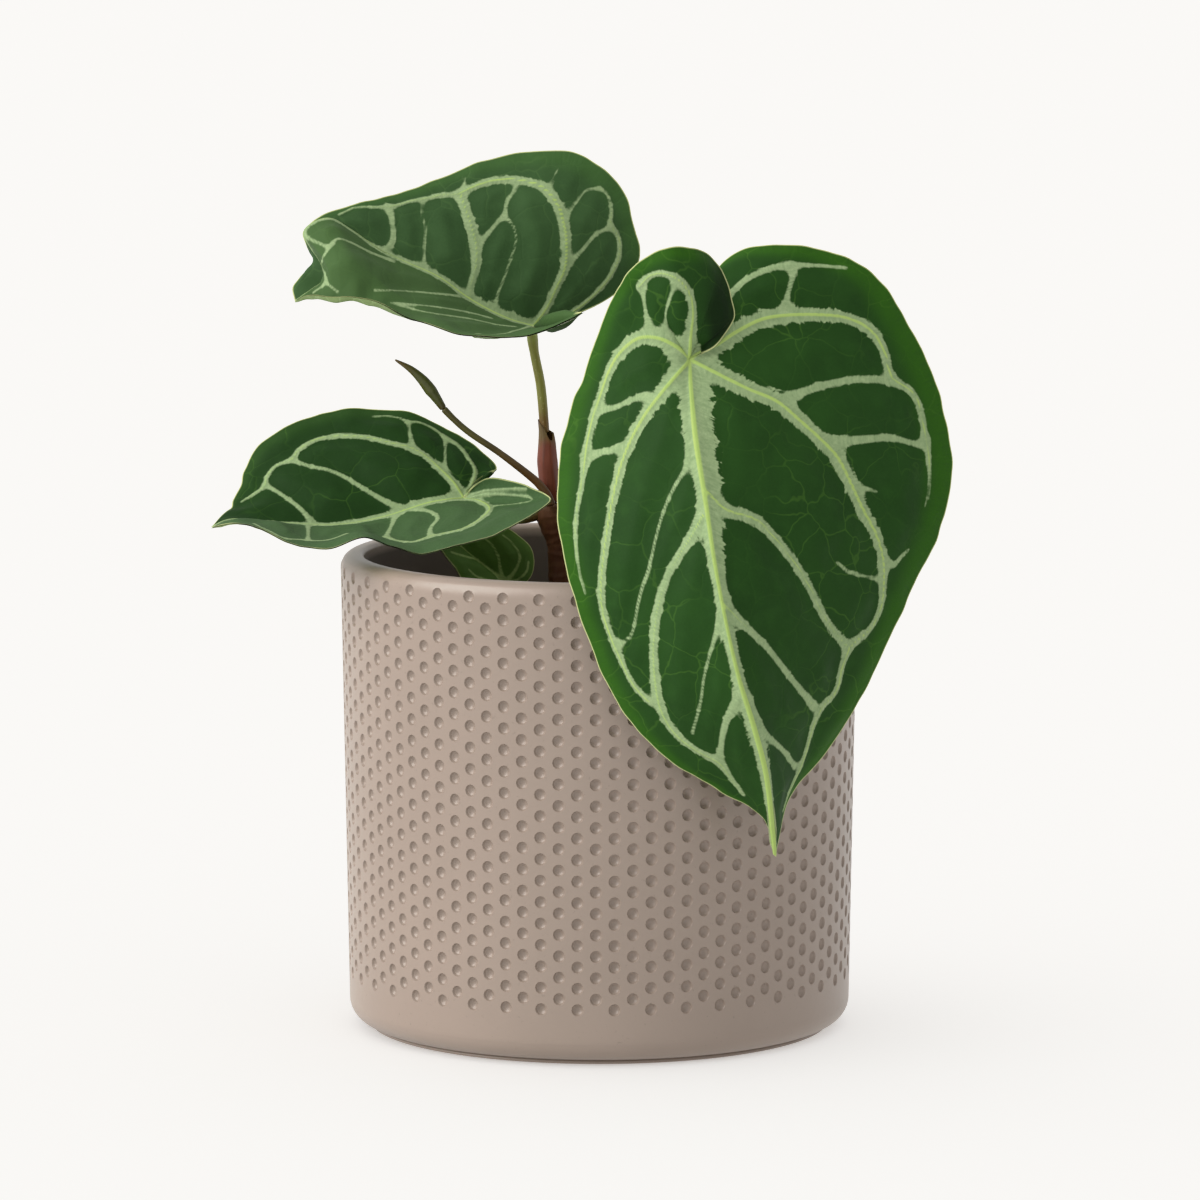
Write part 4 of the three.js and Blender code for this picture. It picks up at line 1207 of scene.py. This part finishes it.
def makeFlower():
    stalk = stems["flower_stalk"]
    bm = shoot(stalk["points"], stalk["radii"], 24, 110, lambda run, turn: 1 + 0.03 * np.cos(4 * turn), 0.6)
    graph = Graph("stalkSkin")
    place = graph.place()
    share = graph.attribute("runShare")
    cloud = graph.noise(place, 240, 3)
    colour = graph.mix(graph.soft(share, 0.1, 0.9), srgb(94, 62, 30), srgb(82, 78, 34))
    colour = graph.mix(graph.soft(cloud, 0.4, 0.7) * 0.5, colour, srgb(58, 48, 20))
    normal = graph.bump(cloud, 0.0001, 0.4)
    material = graph.surface(colour, 0.45, normal, Specular_IOR_Level=0.4)
    finishPiece(bm, "flowerStalkShoot", [material], ["flower_stalk"])

    def furled(run, turn):
        # one long edge winds round the bud
        seam = np.angle(np.exp(1j * (turn - 1.9 - run * 0.16)))
        lip = np.exp(-((seam - 0.16) / 0.16) ** 2) - np.exp(-((seam + 0.14) / 0.16) ** 2)
        return 1 + 0.1 * lip * np.clip(run / 3, 0, 1) + 0.03 * np.cos(2 * turn)
    bud = stems["flower_bud"]
    bm = shoot(bud["points"], bud["radii"], 40, 110, furled, 0.5)
    graph = Graph("budSkin")
    place = graph.place()
    share = graph.attribute("runShare")
    streak = graph.noise(graph.stretched(place, (0.4, 0.4, 0.4)), 900, 3)
    colour = graph.mix(streak, srgb(56, 60, 22), srgb(82, 86, 36))
    colour = graph.mix(graph.soft(share, 0.55, 1.0) * 0.8, colour, srgb(88, 66, 30))
    colour = graph.mix(graph.soft(share, 0.2, 0.0) * 0.7, colour, srgb(64, 46, 20))
    normal = graph.bump(streak, 0.0001, 0.5)
    material = graph.surface(colour, 0.42, normal, Specular_IOR_Level=0.4)
    finishPiece(bm, "flowerBudShoot", [material], ["flower_bud"])


makePetioles()
makeStem()
makeSheath()
makeFlower()
print("shoots")


# potting mix: a lumpy bed with chips of bark and grains of perlite
soilSettings = {
    "top": 108, "bottom": 8.4, "rings": 64, "segments": 200, "relief": 1.1, "coarse": (0.33, 0.29),
    "fine": (0.8, 0.6), "chips": 420, "chipSize": (2.2, 6.5), "perlite": 110, "perliteSize": (0.8, 1.9),
    "keepOff": [(-11.5, 4, 4), (-20, 9, 2)], "seed": 7,
}


def innerRadius(z):
    s = potSettings
    lip = s["rimRadius"] - s["wall"]
    share = (z - s["floor"]) / (s["height"] - s["floor"])
    return s["innerFloorRadius"] + (lip - s["innerFloorRadius"]) * share


def soilHeight(x, y):
    s = soilSettings
    coarse = math.sin(s["coarse"][0] * x) * math.cos(s["coarse"][1] * y)
    fine = math.sin(s["fine"][0] * x + s["fine"][1] * y)
    lumps = noise.noise(Vector((x, y, 0)) * 0.28) * 1.6 + noise.noise(Vector((x, y, 9)) * 0.9) * 0.9
    return s["top"] + s["relief"] * (coarse + 0.5 * fine) * 0.7 + lumps * 0.8


def makeSoil():
    s = soilSettings
    rim = innerRadius(s["top"]) - 0.25
    foot = innerRadius(s["bottom"]) - 0.3
    profile = [(rim * k / s["rings"], s["top"]) for k in range(s["rings"] + 1)]
    drop = s["bottom"] - s["top"]
    profile += [(rim + (foot - rim) * k / 6, s["top"] + drop * k / 6) for k in range(1, 7)]
    profile += [(foot / 2, s["bottom"]), (0, s["bottom"])]
    bm, shares = gridMesh(s["segments"], len(profile) - 1)
    row = np.round(shares[:, 1] * (len(profile) - 1)).astype(int)
    turn = 2 * math.pi * shares[:, 0]
    radius, height = np.array(profile).T
    places = np.stack([radius[row] * np.cos(turn), radius[row] * np.sin(turn), height[row]], -1)
    for place, ring in zip(places, row):
        if ring <= s["rings"]:
            place[2] = soilHeight(place[0], place[1])
            place[2] += noise.noise(Vector(place) * 2.1) * 0.5
    setPlaces(bm, places * mm)
    bmesh.ops.remove_doubles(bm, verts=bm.verts, dist=1e-6)
    bmesh.ops.recalc_face_normals(bm, faces=bm.faces)
    graph = Graph("pottingMix")
    place = graph.place()
    grain = graph.noise(place, 620, 5, 0.65)
    cloud = graph.noise(place, 90, 3)
    colour = graph.mix(grain, srgb(24, 17, 12), srgb(70, 52, 38))
    colour = graph.mix(graph.soft(cloud, 0.45, 0.7) * 0.5, colour, srgb(46, 34, 26))
    normal = graph.bump(grain + graph.noise(place, 1700, 3) * 0.5, 0.0009, 0.9)
    material = graph.surface(colour, 0.92, normal, Specular_IOR_Level=0.25)
    finishPiece(bm, "soilBed", [material], ["soil"])


def scatter(picker, count, size, flat):
    # rough lumps half sunk in the bed, clear of the stems
    placed = 0
    while placed < count:
        reach = (innerRadius(soilSettings["top"]) - size[1] - 0.6) * math.sqrt(picker.random())
        angle = picker.uniform(0, 2 * math.pi)
        x, y = reach * math.cos(angle), reach * math.sin(angle)
        if any(math.hypot(x - px, y - py) < clear + size[1] for px, py, clear in soilSettings["keepOff"]):
            continue
        placed += 1
        length = picker.uniform(*size)
        lump = Vector((length, length * picker.uniform(0.45, 0.9), length * picker.uniform(*flat)))
        turn = Matrix.Rotation(picker.uniform(0, 2 * math.pi), 4, "Z")
        tilts = [Matrix.Rotation(picker.gauss(0, 0.35), 4, axis) for axis in "XY"]
        turn @= tilts[0] @ tilts[1]
        centre = Vector((x, y, soilHeight(x, y) + lump.z * picker.uniform(0.0, 0.35)))
        yield turn, centre, lump


def makeChips():
    s = soilSettings
    picker = random.Random(s["seed"])
    bm = bmesh.new()
    tone = bm.verts.layers.float.new("tone")
    for turn, centre, lump in scatter(picker, s["chips"], s["chipSize"], (0.16, 0.4)):
        made = bmesh.ops.create_cube(bm, size=1)["verts"]
        edges = list({edge for vertex in made for edge in vertex.link_edges})
        made = bmesh.ops.bevel(bm, geom=edges, offset=picker.uniform(0.12, 0.22), affect="EDGES", segments=1,
                               profile=0.5, material=-1)["verts"]
        shade = picker.random()
        for vertex in made:
            vertex.co += Vector(picker.uniform(-0.13, 0.13) for _ in range(3))
            vertex.co = (centre + turn @ (vertex.co * lump)) * mm
            vertex[tone] = shade
    bmesh.ops.recalc_face_normals(bm, faces=bm.faces)
    graph = Graph("bark")
    place = graph.place()
    tone = graph.attribute("tone")
    grain = graph.noise(graph.stretched(place, (1.0, 0.35, 1.0)), 900, 4)
    colour = graph.mix(tone, srgb(52, 33, 22), srgb(118, 82, 54))
    colour = graph.mix(graph.soft(grain, 0.45, 0.7) * 0.7, colour, srgb(40, 27, 19))
    normal = graph.bump(grain, 0.0005, 0.9)
    material = graph.surface(colour, 0.85, normal, Specular_IOR_Level=0.3)
    piece = finishPiece(bm, "barkChips", [material])
    for polygon in piece.data.polygons:
        polygon.use_smooth = False


def makePerlite():
    s = soilSettings
    picker = random.Random(s["seed"] + 1)
    bm = bmesh.new()
    for turn, centre, lump in scatter(picker, s["perlite"], s["perliteSize"], (0.6, 0.9)):
        made = bmesh.ops.create_icosphere(bm, subdivisions=2, radius=1)["verts"]
        shift = Vector((picker.uniform(0, 99), picker.uniform(0, 99), picker.uniform(0, 99)))
        for vertex in made:
            vertex.co *= 1 + 0.35 * noise.noise(vertex.co * 1.3 + shift)
            vertex.co = (centre + turn @ (vertex.co * lump * 0.7)) * mm
    bmesh.ops.recalc_face_normals(bm, faces=bm.faces)
    graph = Graph("perlite")
    place = graph.place()
    pit = graph.noise(place, 1500, 3)
    colour = graph.mix(pit, srgb(196, 190, 178), srgb(232, 229, 221))
    colour = graph.mix(graph.soft(graph.noise(place, 400, 2), 0.5, 0.7) * 0.5, colour, srgb(168, 152, 130))
    normal = graph.bump(pit, 0.0004, 0.8)
    finishPiece(bm, "perliteGrains", [graph.surface(colour, 0.85, normal)])


makeSoil()
makeChips()
makePerlite()
print("potting mix")
